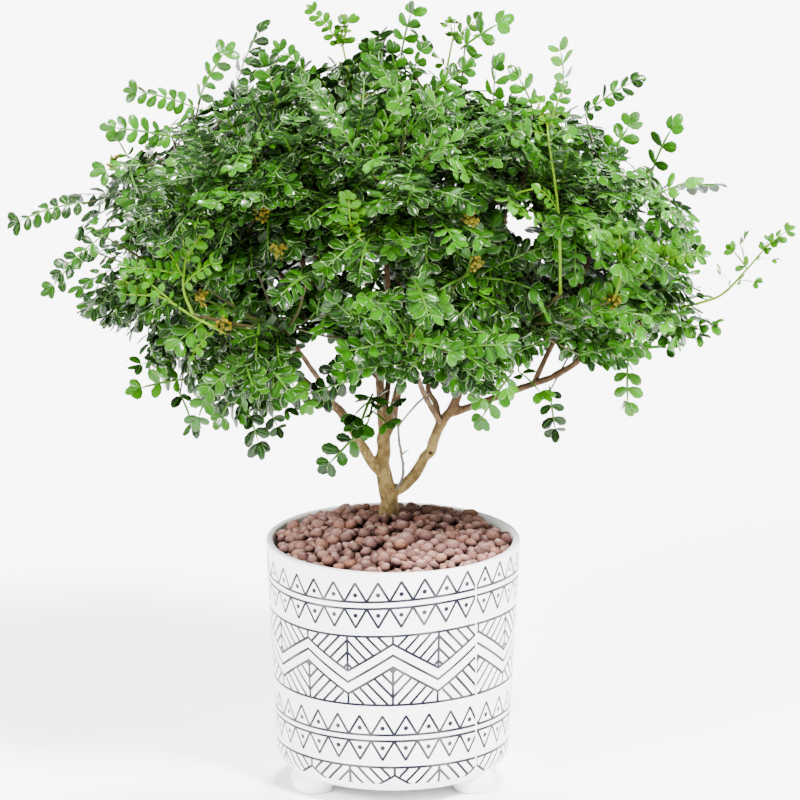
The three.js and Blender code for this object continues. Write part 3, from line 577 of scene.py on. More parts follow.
# %% Fired clay, a tone for each pellet
clay, clay_shader, clay_place = new_finish("fired_clay", Roughness=0.86, Specular_IOR_Level=0.1)
kind, shade, height_on = carried(clay_place, "tone")
fired = kind.node("ValToRGB", {"stops": [
    (0.0, (0.072, 0.031, 0.026)),
    (0.3, (0.127, 0.056, 0.047)),
    (0.6, (0.18, 0.081, 0.065)),
    (0.88, (0.225, 0.095, 0.060)),
    (1.0, (0.31, 0.110, 0.041)),
]}, {0: kind})
grain = noise(clay_place, 900, 5, 0.6)
mottle = noise(clay_place, 260, 3)
dusty = (mottle * 0.4 + shade * 0.35).blend(fired, rgb(0.29, 0.158, 0.132))
pits = grain.ramp(0.28, 0.48, 0.35, 1.0)
# each pellet is paler towards its top, in patches
paler_tops = (height_on.ramp(0.5, 1.0) * mottle.ramp(0.35, 0.6)).blend(dusty, rgb(0.46, 0.285, 0.24))
# painted shade: each pellet is darker on its lower side
painted_low_shade = (height_on + mottle * 0.5).ramp(-0.05, 0.85, 0.0, 1.0)
shaded = painted_low_shade.blend(rgb(0.018, 0.0075, 0.006), paler_tops)
wire(clay_shader, "Base Color", pits.blend(rgb(0.03, 0.014, 0.011), shaded))
relief(clay_shader, grain * 0.5 + mottle * 0.5, 0.0006)
pellet_mesh = mesh_from("clay_pellet_bed", pellet_points, [pellet_faces], {"tone": tone})
piece_from("clay_pellet_bed", pellet_mesh, clay, ["clay_pellets"])
print(len(centres), "pellets")

# %% [markdown]
# ## Stem and limbs
# The wood is one small trunk that forks low down into two leaders, a left limb
# and two right limbs. Each is a tube along a smooth curve through the CAD's
# points. The visible ones are fused by a voxel remesh and smoothed a little,
# because real forks swell and flow into each other. The branches inside the
# crown are plain tubes. A thin grey twig, long dead, stands in the fork.

# %% Tubes along curves
def v(*numbers):
    """A point in millimetres."""
    return np.array(numbers, float)


def curve_through(points, steps):
    """Points on a smooth curve through these, steps to a span.

    Between p1 and p2 it is 0.5 (2 p1 + (p2 - p0) t + (2 p0 - 5 p1 + 4 p2 - p3) t^2
    + (3 p1 - p0 - 3 p2 + p3) t^3).
    """
    p = np.vstack([2 * points[0] - points[1], points, 2 * points[-1] - points[-2]])
    t = (np.arange(steps) / steps)[None, :, None]
    p0, p1, p2, p3 = (p[i:len(p) - 3 + i, None, :] for i in range(4))
    span = 0.5 * (2 * p1 + (p2 - p0) * t + (2 * p0 - 5 * p1 + 4 * p2 - p3) * t**2
                  + (3 * p1 - p0 - 3 * p2 + p3) * t**3)
    return np.vstack([span.reshape(-1, points.shape[1]), points[-1:]])


def tube(path, radii, sides, source=None, rough=0.0):
    """A closed tube: path(i) + radius(i) (cos a side + sin a across), with a point at each end.

    With rough above 0 the radius swells and shrinks by that share along waves.
    """
    ahead = unit(np.gradient(path, axis=0))
    axis = np.eye(3)[np.argmin(np.abs(path[-1] - path[0]))]
    side = unit(axis - ahead * (ahead @ axis)[:, None])
    across = np.cross(ahead, side)
    a = np.arange(sides) * 2 * np.pi / sides
    radius = np.broadcast_to(np.asarray(radii, float), len(path))[:, None] * np.ones(sides)
    if rough:
        along = np.linalg.norm(np.diff(path, axis=0, prepend=path[:1]), axis=1).cumsum()[:, None]
        for wave in range(4):
            length, phase = source.uniform(7, 26), source.uniform(0, 2 * np.pi)
            radius = radius * (1 + rough * np.cos(2 * np.pi * along / length + wave * a + phase))
    rings = path[:, None] + radius[..., None] * (
        np.cos(a)[None, :, None] * side[:, None] + np.sin(a)[None, :, None] * across[:, None])
    points = np.vstack([rings.reshape(-1, 3), path[:1] - ahead[:1] * radius[0, 0] * 0.3,
                        path[-1:] + ahead[-1:] * radius[-1, 0] * 0.6])
    k = np.arange(sides)
    last = (len(path) - 1) * sides
    start, end = len(points) - 2, len(points) - 1
    caps = [np.stack([np.full(sides, start), (k + 1) % sides, k], axis=1),
            np.stack([np.full(sides, end), last + k, last + (k + 1) % sides], axis=1)]
    return points, [grid_faces(len(path), sides), *caps]


def limb(points, radii, sides, steps, rough=0.0):
    """A tube through points whose radius runs smoothly through the radii."""
    rows = np.column_stack([np.array(points, float), radii])
    smooth = curve_through(rows, steps)
    return tube(smooth[:, :3], smooth[:, 3], sides, rng, rough)


# %% Fused trunk and limbs
TRUNK = [(-2, 22, 112), (-2, 22, 118), (-2, 20.5, 130), (-2, 18, 139), (-3.3, 16, 148),
         (-5.2, 16, 158), (-4.6, 15, 166), (-4.7, 14, 173), (-2, 12.5, 180)]
THICK_LIMBS = [
    (TRUNK, (4.9, 5.1, 5.4, 4.7, 4.3, 3.7, 3.5, 3.4, 3.0)),
    ([(-4.5, 14, 172), (-6, 11, 190), (-8, 7, 225), (-16, 4, 275)], (2.7, 2.4, 2.1, 1.7)),
    ([(-3, 13, 176), (0, 12, 184), (2, 9, 197), (12, 5, 230), (24, 2, 275)],
     (2.7, 2.5, 2.3, 2.0, 1.6)),
    ([(-4, 16, 152), (-9, 13.5, 158), (-12.5, 12, 164), (-17, 8, 173), (-24.5, 2, 187.7),
      (-31.5, -4, 196.7), (-51.5, -12, 215.6), (-76, -18, 240)],
     (2.9, 2.8, 2.7, 2.6, 2.5, 2.4, 2.1, 1.7)),
    ([(-1, 16, 143), (6, 15, 148), (11.5, 13, 155), (15.5, 11, 163), (18.8, 9, 167.5), (21, 7, 175.4),
      (24, 5, 182.7), (28.3, 2, 190), (31, -2, 196), (35.5, -6, 207.7), (48, -28, 232)],
     (3.1, 3.0, 2.9, 2.8, 2.8, 2.7, 2.6, 2.4, 2.3, 2.1, 1.7)),
    ([(27, 3, 188), (39.5, -4, 194.6), (58.5, -14, 204.8), (80, -22, 215)], (2.2, 2.0, 1.9, 1.7)),
    ([(23, 6, 182), (21.5, 8, 192), (18, 11, 204), (34, 30, 230)], (1.9, 1.6, 1.5, 1.4)),
]
ROOTS = [(35, 9.5), (118, 8.5), (200, 9.0), (262, 8.5), (318, 9.5)]
thick = [limb(points, radii, 18, 10, 0.035) for points, radii in THICK_LIMBS]
for degrees, reach in ROOTS:
    away = v(math.cos(math.radians(degrees)), math.sin(math.radians(degrees)), 0)
    start = v(STEM_X, STEM_Y - 0.5, 135)
    thick.append(limb([start, start + away * 3.0 - [0, 0, 4], start + away * reach - [0, 0, 12]],
                      (2.2, 2.4, 1.6), 14, 8))
rough = bpy.data.objects.new("rough_wood", mesh_from("rough_wood", *joined(thick)))
bpy.context.scene.collection.objects.link(rough)
fuse = rough.modifiers.new("fuse", "REMESH")
fuse.mode = "VOXEL"
fuse.voxel_size = 0.00075
fuse.use_smooth_shade = True
soften = rough.modifiers.new("soften", "SMOOTH")
soften.factor = 0.5
soften.iterations = 5
fused = rough.evaluated_get(bpy.context.evaluated_depsgraph_get())
wood_mesh = bpy.data.meshes.new_from_object(fused)
wood_mesh.name = "trunk_and_limbs"
bpy.data.objects.remove(rough)
print("trunk and limbs", len(wood_mesh.polygons), "faces")

# %% Bark
KNOTS = [  # place and size in metres
    (0.0189, 0.0063, 0.1672, 0.0014), (-0.0004, 0.0168, 0.1310, 0.0009),
    (-0.0066, 0.0125, 0.1555, 0.0008)]
bark, bark_shader, bark_place = new_finish("bark", Specular_IOR_Level=0.1)
bark_height = bark_place.parts()[2]
long_grain = bark_place.node(
    "VectorMath", {"operation": "MULTIPLY"}, {0: bark_place, 1: (1, 1, 0.3)})
streaks = noise(long_grain, 900, 5, 0.62)
patches = noise(bark_place, 150, 3)
spots = bark_place.node("TexVoronoi", {"feature": "F1"}, {"Vector": long_grain, "Scale": 380})
lenticel = spots.ramp(0.14, 0.28, 1, 0) * patches.ramp(0.35, 0.55, 0, 1)
tan = patches.ramp(0.35, 0.65, 0, 1).blend(rgb(0.135, 0.090, 0.029), rgb(0.34, 0.240, 0.088))
brown = patches.ramp(0.35, 0.65, 0, 1).blend(rgb(0.042, 0.023, 0.010), rgb(0.095, 0.056, 0.026))
age = (bark_height + patches * 0.03).ramp(0.172, 0.214, 0, 1)
base_bark = age.blend(tan, brown)
dark_grain = streaks.ramp(0.30, 0.54, 1, 0) * 0.6
grained = dark_grain.blend(base_bark, age.blend(rgb(0.10, 0.055, 0.018), rgb(0.022, 0.011, 0.006)))
pale_spot = age.blend(rgb(0.50, 0.39, 0.17), rgb(0.20, 0.135, 0.07))
bark_colour = (lenticel * 0.8).blend(grained, pale_spot)
for *spot, size in KNOTS:
    inputs = {0: bark_place, 1: spot}
    away = bark_place.node("VectorMath", {"operation": "DISTANCE"}, inputs, "Value")
    knot = (away + patches * 0.0012).ramp(size, size + 0.0009, 0.92, 0)
    bark_colour = knot.blend(bark_colour, rgb(0.012, 0.006, 0.003))
wire(bark_shader, "Base Color", bark_colour)
wire(bark_shader, "Roughness", streaks.ramp(0.3, 0.7, 0.85, 0.62))
relief(bark_shader, streaks * 0.8 + lenticel * 0.5, 0.0008)
piece_from("trunk_and_limbs", wood_mesh, bark, ["wood"])

# %% Branches inside the crown, and the dead twig
INNER_BRANCHES = [
    ([(-16, 4, 275), (-30, 4, 322)], (1.7, 1.2)),
    ([(24, 2, 275), (32, 2, 320)], (1.6, 1.2)),
    ([(-76, -18, 240), (-94, -20, 258)], (1.7, 1.2)),
    ([(48, -28, 232), (62, -48, 250)], (1.7, 1.2)),
    ([(80, -22, 215), (94.5, -22, 226), (104, -12, 248)], (1.7, 1.5, 1.2)),
    ([(34, 30, 230), (66, 50, 252)], (1.4, 1.1)),
    ([(-28, -1, 192), (-36, -22, 212), (-48, -56, 240)], (1.6, 1.4, 1.1)),
    ([(24, 4.6, 183), (16, -22, 205), (10, -60, 232), (8, -76, 246)], (1.5, 1.4, 1.3, 1.1)),
    ([(-70, -16, 235), (-90, -6, 268), (-104, 4, 308)], (1.5, 1.3, 1.1)),
    ([(-7, 9, 215), (-30, -16, 262), (-54, -44, 306)], (1.6, 1.4, 1.1)),
    ([(14, 4, 238), (10, -22, 276), (2, -52, 312)], (1.5, 1.3, 1.1)),
    ([(36, -8, 210), (44, -24, 256), (56, -42, 304)], (1.5, 1.3, 1.1)),
    ([(70, -18, 210), (94, -8, 262), (106, 2, 298)], (1.4, 1.3, 1.1)),
    ([(-7, 10, 205), (-34, 34, 228), (-62, 56, 252)], (1.6, 1.4, 1.1)),
    ([(-4, 12, 188), (0, 40, 215), (4, 74, 250)], (1.6, 1.4, 1.1)),
    ([(-30, 31, 225), (-50, 42, 268), (-62, 48, 308)], (1.4, 1.3, 1.1)),
    ([(0, 36, 212), (-4, 46, 262), (-8, 60, 310)], (1.5, 1.3, 1.1)),
    ([(32, 28, 228), (44, 40, 268), (54, 52, 306)], (1.4, 1.3, 1.1)),
]
branches = joined([limb(points, radii, 10, 8, 0.04) for points, radii in INNER_BRANCHES])
piece_from("crown_branches", mesh_from("crown_branches", *branches), bark)

DEAD_TWIG = [
    ([(0.2, 14.5, 144), (4.5, 11, 152), (5, 9, 160), (4, 8, 167), (3, 7, 174), (2.5, 6, 182.4)],
     (0.95, 0.75, 0.7, 0.72, 0.65, 0.6)),
    ([(2.5, 6, 181), (7, 4, 187.6), (12.5, 2, 194.5), (18, 4, 199)], (0.6, 0.55, 0.55, 0.5)),
    ([(2.5, 6, 181), (0.5, 7.5, 186), (-1.5, 9.5, 191)], (0.6, 0.5, 0.4)),
    ([(4.2, 8.2, 165.5), (6.2, 6.4, 168), (8.0, 6.0, 168.6)], (0.5, 0.4, 0.25)),
    ([(4.6, 9.4, 159), (5.9, 7.6, 161.4)], (0.5, 0.3)),
]
grey_bark, grey_shader, grey_place = new_finish("grey_dead_bark", Roughness=0.85)
grey_grain = noise(grey_place, 700, 5, 0.6)
grey = grey_grain.ramp(0.3, 0.7, 0, 1).blend(rgb(0.05, 0.038, 0.032), rgb(0.22, 0.18, 0.15))
wire(grey_shader, "Base Color", grey)
relief(grey_shader, grey_grain, 0.0004)
dead = joined([limb(points, radii, 10, 8, 0.07) for points, radii in DEAD_TWIG])
piece_from("dead_twig", mesh_from("dead_twig", *dead), grey_bark)

# %% [markdown]
# ## One leaf
# A leaf is feathered: a thin winged rib with pairs of small glossy leaflets and
# one at its tip. Each leaflet is a closed blade, widest beyond its middle, with
# a fold along its midrib. A few templates differ in the number of pairs, in
# their arch and in how their leaflets lie. Every leaf of the crown is one of
# them, scaled, turned and put in its place by arrays.

# %% Leaflets and leaf templates
OUTLINE = np.array([(0.0, 0.0), (0.24, 0.34), (0.62, 0.50), (0.90, 0.31), (1.0, 0.0)])
LEAFLET_CURL, HALF_THICK, LEAFLET_WIDTH = 0.14, 0.02, 0.65
LEAFLET_SIZE, LEAF_BASE, PAIR_STEP = 8.8, 8.0, 5.2  # a leaf is about 8 + 5.2 pairs mm long
RIB_WIDE = np.array([0.50, 0.55, 0.62, 0.66, 0.64, 0.55, 0.18])
RIB_DEEP = np.array([0.30, 0.27, 0.25, 0.23, 0.19, 0.15, 0.08])


def leaflet():
    """A leaflet of length 1 along x: points, faces and blade values.

    The rim is (t, +-w(t)), z = -curl t^2. The midrib runs above and below
    it by half the thickness. Blade values are across (-1 to 1), along
    (0 to 1) and layer (0 above, 1 on the rim, 2 below).
    """
    t, w = OUTLINE[:, 0], OUTLINE[:, 1] * LEAFLET_WIDTH
    right = np.column_stack([t, -w])
    left = np.column_stack([t[1:-1], w[1:-1]])[::-1]
    rim = np.vstack([right, left])
    middle = np.column_stack([t[1:-1], 0 * t[1:-1]])
    flat = np.vstack([rim, middle, middle])
    count, inner = len(rim), len(middle)
    height = -LEAFLET_CURL * flat[:, 0] ** 2
    height[count:count + inner] += HALF_THICK
    height[count + inner:] -= HALF_THICK
    points = np.column_stack([flat, height])
    across = np.concatenate([np.sign(rim[:, 1]), np.zeros(2 * inner)])
    layer = np.concatenate([np.ones(count), np.zeros(inner), np.full(inner, 2.0)])
    blade = np.column_stack([across, flat[:, 0], layer])
    top = count + np.arange(inner)
    low = top + inner
    tip = inner + 1
    r = 1 + np.arange(inner)
    l = (count - np.arange(1, inner + 1)) % count
    quads = np.vstack([
        np.column_stack([r[:-1], r[1:], top[1:], top[:-1]]),
        np.column_stack([top[:-1], top[1:], l[1:], l[:-1]]),
        np.column_stack([r[1:], r[:-1], low[:-1], low[1:]]),
        np.column_stack([low[1:], low[:-1], l[:-1], l[1:]]),
    ])
    ends = np.array([
        (0, r[0], top[0]), (0, top[0], l[0]), (r[-1], tip, top[-1]), (top[-1], tip, l[-1]),
        (r[0], 0, low[0]), (low[0], 0, l[0]), (tip, r[-1], low[-1]), (tip, low[-1], l[-1]),
    ])
    return points, np.vstack([cut(quads), ends]), blade


def turn_about(axis, degrees):
    """Rotation matrices about x (0), y (1) or z (2), to be used as points @ matrix."""
    a = np.radians(degrees)
    c, s, o, i = np.cos(a), np.sin(a), np.zeros_like(a), np.ones_like(a)
    rows = {
        0: [[i, o, o], [o, c, s], [o, -s, c]],
        1: [[c, o, -s], [o, i, o], [s, o, c]],
        2: [[c, s, o], [-s, c, o], [o, o, i]],
    }[axis]
    return np.moveaxis(np.array([[np.asarray(q) for q in row] for row in rows]), 2, 0)


def leaf_template(pairs, arch, raise_by, source):
    """A leaf of length 1 along x, its rib arched by z = 4 arch x (1 - x).

    Leaflets are about as long on every leaf, so a short leaf has fewer pairs
    and each is a larger part of it: size = 8.8 / (8 + 5.2 pairs). Pair k sits
    at x(k), turned 50 to 68 degrees out, and raised by raise_by degrees. A
    leaflet folds along its midrib, z += fold |y|, up or down. Each has a little
    chance in it. The rib is a tube with four sides.
    """
    blade_points, blade_faces, blade_values = leaflet()
    first, last = 0.13, 0.86
    x = np.repeat(first + (last - first) * np.arange(pairs) / (pairs - 1), 2)
    side = np.tile([1.0, -1.0], pairs)
    leaf_length = LEAF_BASE + PAIR_STEP * pairs
    whole = LEAFLET_SIZE / leaf_length
    size = whole * (1 - 0.35 * np.abs(x - 0.6)) * source.uniform(0.88, 1.08, 2 * pairs)
    spread = side * (70 - 20 * x + source.normal(0, 4, 2 * pairs))
    x, spread = np.append(x, last), np.append(spread, source.normal(0, 5))
    size = np.append(size, whole * 0.95)
    lift = np.append(side, 0.0)
    count = len(x)
    slope = np.degrees(np.arctan(4 * arch * (1 - 2 * x)))
    fold = source.choice([-0.34, -0.2, 0.15, 0.3], (count, 1))
    folded = np.repeat(blade_points[None], count, axis=0)
    folded[..., 2] += fold * np.abs(folded[..., 1])
    local = folded * size[:, None, None]
    local = local @ turn_about(0, source.normal(0, 15, count) - lift * 6)
    local = local @ turn_about(1, -(raise_by + source.normal(0, 12, count)))
    local = local @ turn_about(2, spread)
    local = local @ turn_about(1, -slope)
    seat = np.column_stack([x, 0 * x, 4 * arch * x * (1 - x)])
    points = (local + seat[:, None]).reshape(-1, 3)
    faces = copies(blade_faces, count, len(blade_points))
    values = np.tile(blade_values, (count, 1))
    tones = np.repeat(source.uniform(0, 1, count), len(blade_points))
    s = np.linspace(0, 0.9, len(RIB_WIDE))
    rib = np.column_stack([s, 0 * s, 4 * arch * s * (1 - s)])
    wide = (RIB_WIDE / leaf_length)[:, None] * v(0, 1, 0)
    deep = (RIB_DEEP / leaf_length)[:, None] * v(0, 0, 1)
    rings = (rib[:, None] + np.stack([-wide, -deep, wide, deep], axis=1)).reshape(-1, 3)
    start, extra = len(points), len(rings)
    end = extra - 4
    rib_triangles = np.vstack([
        cut(grid_faces(len(s), 4)), [(0, 3, 2), (0, 2, 1)],
        [(end, end + 1, end + 2), (end, end + 2, end + 3)]])
    return {
        "points": np.vstack([points, rings]),
        "faces": np.vstack([faces, rib_triangles + start]),
        "blade": np.vstack([values, np.tile([0.0, 0.5, 1.0], (extra, 1))]),
        "tone": np.append(tones, np.full(extra, 0.5)),
        "kind": np.append(np.zeros(start), np.ones(extra)),
    }


grow = np.random.default_rng(5)
FEWEST_PAIRS, MOST_PAIRS = 2, 7
WAYS = ((0.06, 4), (0.09, -8), (0.07, 12))  # arch and how far the leaflets are raised
TEMPLATES = [leaf_template(pairs, arch, raise_by, grow)
             for pairs in range(FEWEST_PAIRS, MOST_PAIRS + 1) for arch, raise_by in WAYS]
print("a leaf has", [len(t["faces"]) for t in TEMPLATES], "triangles")


def place_leaves(leaves, source, pair_step=PAIR_STEP):
    """Puts a template at each leaf: base + length (x ahead + y left + z up).

    leaves has base, ahead and up (n, 3), length, age and tone (n). A leaf gets
    a pair of leaflets for each pair_step mm of its length. Gives points, faces,
    blade and tint rows; a tint row is tone, age and 0 for a blade or 1 for a rib.
    """
    count_of = len(leaves["base"])
    pairs = (leaves["length"] - LEAF_BASE) / pair_step + source.normal(0, 0.5, count_of)
    pairs = np.clip(np.rint(pairs), FEWEST_PAIRS, MOST_PAIRS).astype(int)
    chosen = (pairs - FEWEST_PAIRS) * len(WAYS) + source.integers(0, len(WAYS), count_of)
    ahead = unit(leaves["ahead"])
    up = unit(leaves["up"] - ahead * (leaves["up"] * ahead).sum(1, keepdims=True))
    frame_of = np.stack([ahead, np.cross(up, ahead), up], axis=1)
    points, faces, blade, tint, count = [], [], [], [], 0
    for index, template in enumerate(TEMPLATES):
        here = np.flatnonzero(chosen == index)
        if not len(here):
            continue
        local = template["points"][None] * leaves["length"][here, None, None]
        points.append((local @ frame_of[here] + leaves["base"][here, None]).reshape(-1, 3))
        size = len(template["points"])
        faces.append(copies(template["faces"], len(here), size) + count)
        count += len(here) * size
        blade.append(np.tile(template["blade"], (len(here), 1)))
        mixed = 0.6 * leaves["tone"][here, None] + 0.4 * template["tone"][None]
        age = np.repeat(leaves["age"][here, None], size, axis=1)
        kind = np.tile(template["kind"], (len(here), 1))
        tint.append(np.stack([mixed, age, kind], axis=2).reshape(-1, 3))
    return np.vstack(points), np.vstack(faces), np.vstack(blade), np.vstack(tint)


# %% [markdown]
# ## Leaf material
# The upper side is a deep, glossy green, a little different on each leaf and
# leaflet, brighter towards the crown's top and right and darker inside it (a
# painted light and shade), with a paler midrib, faint side veins and a pale rim,
# partly the margin's own colour and partly a painted highlight. The under side
# is matt, and on the ripe leaves darker, a painted shade. Ribs and twigs share
# the mesh, so a number carried by the points says which is which. Young leaves
# have the same build in yellow-green.

# %% Leaf finish
VEINS, VEIN_LEAN = 9, 2.2  # side veins on a leaflet, and how far they slant


def leaf_finish(name, deep, fresh, pale, margin_and_rim_highlight, under, rib_colour, gloss, shine):
    """A leaf material: gloss is the upper side's roughness, shine its specular level."""
    material, shader, place = new_finish(name, Specular_IOR_Level=shine)
    across, along, layer = carried(place, "blade")
    tone, age, kind = carried(place, "tint")
    mottle = noise(place, 260, 3)
    is_rib, is_brown = kind.ramp(0.4, 0.6), kind.ramp(1.4, 1.6)
    from_rim = abs(layer - 1)
    below = layer.ramp(1.02, 1.1, 0, 1)
    # the tone carries painted light and shade from the leaf's place in the crown, and random
    # differences
    tone_with_painted_light = (tone * 0.9 + mottle * 0.3 - 0.1).ramp(0.05, 1.0).maths("POWER", 1.8)
    colour = age.blend(tone_with_painted_light.blend(deep, fresh), pale)
    midrib = from_rim.ramp(0.86, 0.97, 0, 1)
    colour = (midrib * 0.35).blend(colour, pale)
    vein = (along * VEINS - abs(across) * VEIN_LEAN).maths("PINGPONG", 0.5)
    colour = (vein.ramp(0.4, 0.5, 0, 1) * 0.12).blend(colour, pale)
    # pale rim: partly the margin's own colour, partly a painted highlight on the curved edge
    rim = from_rim.ramp(0.04, 0.16, 1, 0)
    colour = (rim * mottle.ramp(0.44, 0.62, 0.0, 0.85)).blend(colour, margin_and_rim_highlight)
    # painted shade: the under side is given a darker green than the upper side's fresh green
    colour = (below * 0.9).blend(colour, under)
    colour = is_rib.blend(colour, rib_colour)
    twig_colour = tone.blend(rgb(0.035, 0.022, 0.008), rgb(0.05, 0.06, 0.012))
    wire(shader, "Base Color", is_brown.blend(colour, twig_colour))
    dull = below.over(is_rib) * 0.25
    wire(shader, "Roughness", dull + mottle.ramp(0.3, 0.7, gloss, gloss + 0.12))
    swell = from_rim.ramp(0.0, 0.4) * 0.7 - midrib * 0.3
    relief(shader, swell - vein.ramp(0.36, 0.5, 0, 1) * 0.15 + mottle * 0.25, 0.0006)
    return material


leaf_green = leaf_finish(
    "glossy_leaf", rgb(0.0006, 0.0045, 0.0003), rgb(0.030, 0.175, 0.0016), rgb(0.05, 0.22, 0.003),
    rgb(0.32, 0.50, 0.18), rgb(0.005, 0.028, 0.001), rgb(0.04, 0.13, 0.003), 0.07, 0.3)
young_green = leaf_finish(
    "young_leaf", rgb(0.009, 0.075, 0.0001), rgb(0.030, 0.145, 0.0001), rgb(0.060, 0.20, 0.0002),
    rgb(0.14, 0.27, 0.004), rgb(0.022, 0.09, 0.0002), rgb(0.085, 0.17, 0.0003), 0.2, 0.16)

# %% [markdown]
# ## The crown
# The crown is made of eighteen leaf sprays, each at the end of a branch, as in
# the CAD model. Short twigs leave a small branch in each spray's middle and
# carry leaves in two ranks, and more leaves cover the branch itself. A leaf
# points along its twig and outwards, droops a little, and turns its upper side
# to the light. A leaf whose tip would leave the crown's form, or cross a gap
# through which the photograph shows the ground, is left out. The leaves that
# stand out of the photograph's outline are given one by one.

# %% Sprays of leaves
SPRAYS = {
    "low_left": (-98, -22, 262), "low_front_left": (-52, -66, 252), "low_front": (8, -80, 254),
    "low_front_right": (64, -58, 254), "low_right": (104, -6, 256), "low_back_right": (72, 58, 258),
    "low_back": (6, 80, 258), "low_back_left": (-66, 62, 258), "high_left": (-106, 8, 316),
    "high_front_left": (-60, -50, 316), "high_front": (0, -58, 320), "high_front_right": (62, -48, 314),
    "high_right": (110, 8, 308), "high_back_right": (58, 58, 316), "high_back": (-8, 66, 320),
    "high_back_left": (-66, 54, 318), "top_left": (-34, 4, 336), "top_right": (34, 4, 334),
}
SPRAY_NAMES = list(SPRAYS)
SPRAY_CENTRES = np.array([SPRAYS[name] for name in SPRAY_NAMES], float)
CROWN_MIDDLE = v(0, 0, 295)
HALF_WIDE, HALF_DEEP, HALF_ABOVE, HALF_BELOW = 163, 158, 106, 118
# Edges and gaps are in the photograph's plane: x, height, and a gap's radius.
UPPER_EDGE = np.array([
    (-176, 258), (-156, 276), (-136, 306), (-116, 318), (-96, 332), (-76, 345), (-56, 354),
    (-36, 349), (-26, 354), (-16, 365), (-6, 368), (4, 364), (14, 347), (24, 341), (34, 340),
    (54, 336), (74, 333), (84, 334), (94, 323), (114, 312), (134, 295), (144, 288), (154, 262),
    (163, 240)], float)
LOWER_EDGE_SEEN = np.array([
    (-176, 252), (-156, 234), (-136, 216), (-116, 192), (-96, 188), (-76, 175), (-66, 173),
    (-56, 181), (-46, 190), (-36, 197), (-16, 191), (4, 193), (24, 196), (34, 191), (46, 192),
    (64, 208), (84, 211), (104, 202), (114, 200), (134, 212), (154, 219), (161, 226)], float)
GAPS = [(65, 273, 9), (-38, 212, 9), (27, 294, 4.5), (-9, 257, 2.5), (-42.5, 254.5, 3.5),
        (-56, 247.5, 4)]
TWIGS, LEAVES_ON_TWIG, LEAVES_ON_AXIS = 14, 10, 16
TWIG_RISE = 0.14  # how much of its length a twig rises above its first direction
AXIS_HALF = 13  # half the length of a spray's own small branch
GOLDEN = math.pi * (3 - math.sqrt(5))


def seen_height(points):
    """Height in the photograph's plane: z cos e + y sin e for the camera's elevation e."""
    return points[..., 2] * math.cos(ELEVATION) + points[..., 1] * math.sin(ELEVATION)


def crown_share(points):
    """(|x/a|^3 + ((y/b)^2 + (z/c)^2)^(3/2))^(1/3): 0 in the crown's middle, 1 on its outside."""
    away = points - CROWN_MIDDLE
    x, y = np.abs(away[..., 0] / HALF_WIDE), away[..., 1] / HALF_DEEP
    z = away[..., 2] / np.where(away[..., 2] < 0, HALF_BELOW, HALF_ABOVE)
    return (x ** 3 + (y ** 2 + z ** 2) ** 1.5) ** (1 / 3)


def in_crown(points, beyond=0):
    """Yes inside the crown's rounded form and between the edges that the photo shows.

    A point may be up to beyond mm above the upper edge.
    """
    seen = seen_height(points)
    low = np.interp(points[..., 0], LOWER_EDGE_SEEN[:, 0], LOWER_EDGE_SEEN[:, 1])
    high = np.interp(points[..., 0], UPPER_EDGE[:, 0], UPPER_EDGE[:, 1])
    return (crown_share(points) < 1) & (seen > low) & (seen < high + beyond)


def off_gaps(base, tip):
    """Yes where a leaf from base b to tip e keeps clear of all gaps.

    The distance from a gap's middle g to the leaf is |g - b - clamp(t) (e - b)|.
    """
    b = np.stack([base[:, 0], seen_height(base)], axis=1)
    along = np.stack([tip[:, 0], seen_height(tip)], axis=1) - b
    clear = np.ones(len(base), bool)
    for x, height, radius in GAPS:
        away = v(x, height) - b
        t = np.clip((away * along).sum(1) / (along ** 2).sum(1), 0, 1)
        clear &= np.linalg.norm(away - t[:, None] * along, axis=1) > radius
    return clear


def upper_side(points, source):
    """Where leaves turn their upper side: up and away from the crown's middle."""
    outward = unit(points - CROWN_MIDDLE + [0, 0, 40])
    return unit(0.75 * v(0, 0, 1) + 0.7 * outward + source.normal(0, 0.2, points.shape))


def tones_with_painted_light(places, source):
    """Tone (0 deep, 1 fresh) and age (0 ripe, 1 young).

    Leaves are brighter towards the top and the right, a painted light, and the
    inner ones are darker, a painted shade; tone also differs at random.
    """
    # painted light and shade: brighter towards the right and the top, darker inside the crown
    inner = np.clip(0.8 - crown_share(places), 0, 0.5)
    tone = 0.48 + 0.28 * places[:, 0] / 160 + 0.25 * (places[:, 2] - 285) / 100 - 0.9 * inner
    tone = np.clip(tone + source.normal(0, 0.26, len(places)), 0, 1)
    # more young, pale leaves on the right, which adds to the painted light there
    fresh = source.uniform(size=len(places)) < 0.10 + 0.10 * (places[:, 0] > 30)
    young, ripe = source.uniform(0.2, 0.6, len(places)), source.uniform(0, 0.06, len(places))
    return tone, np.where(fresh, young, ripe)


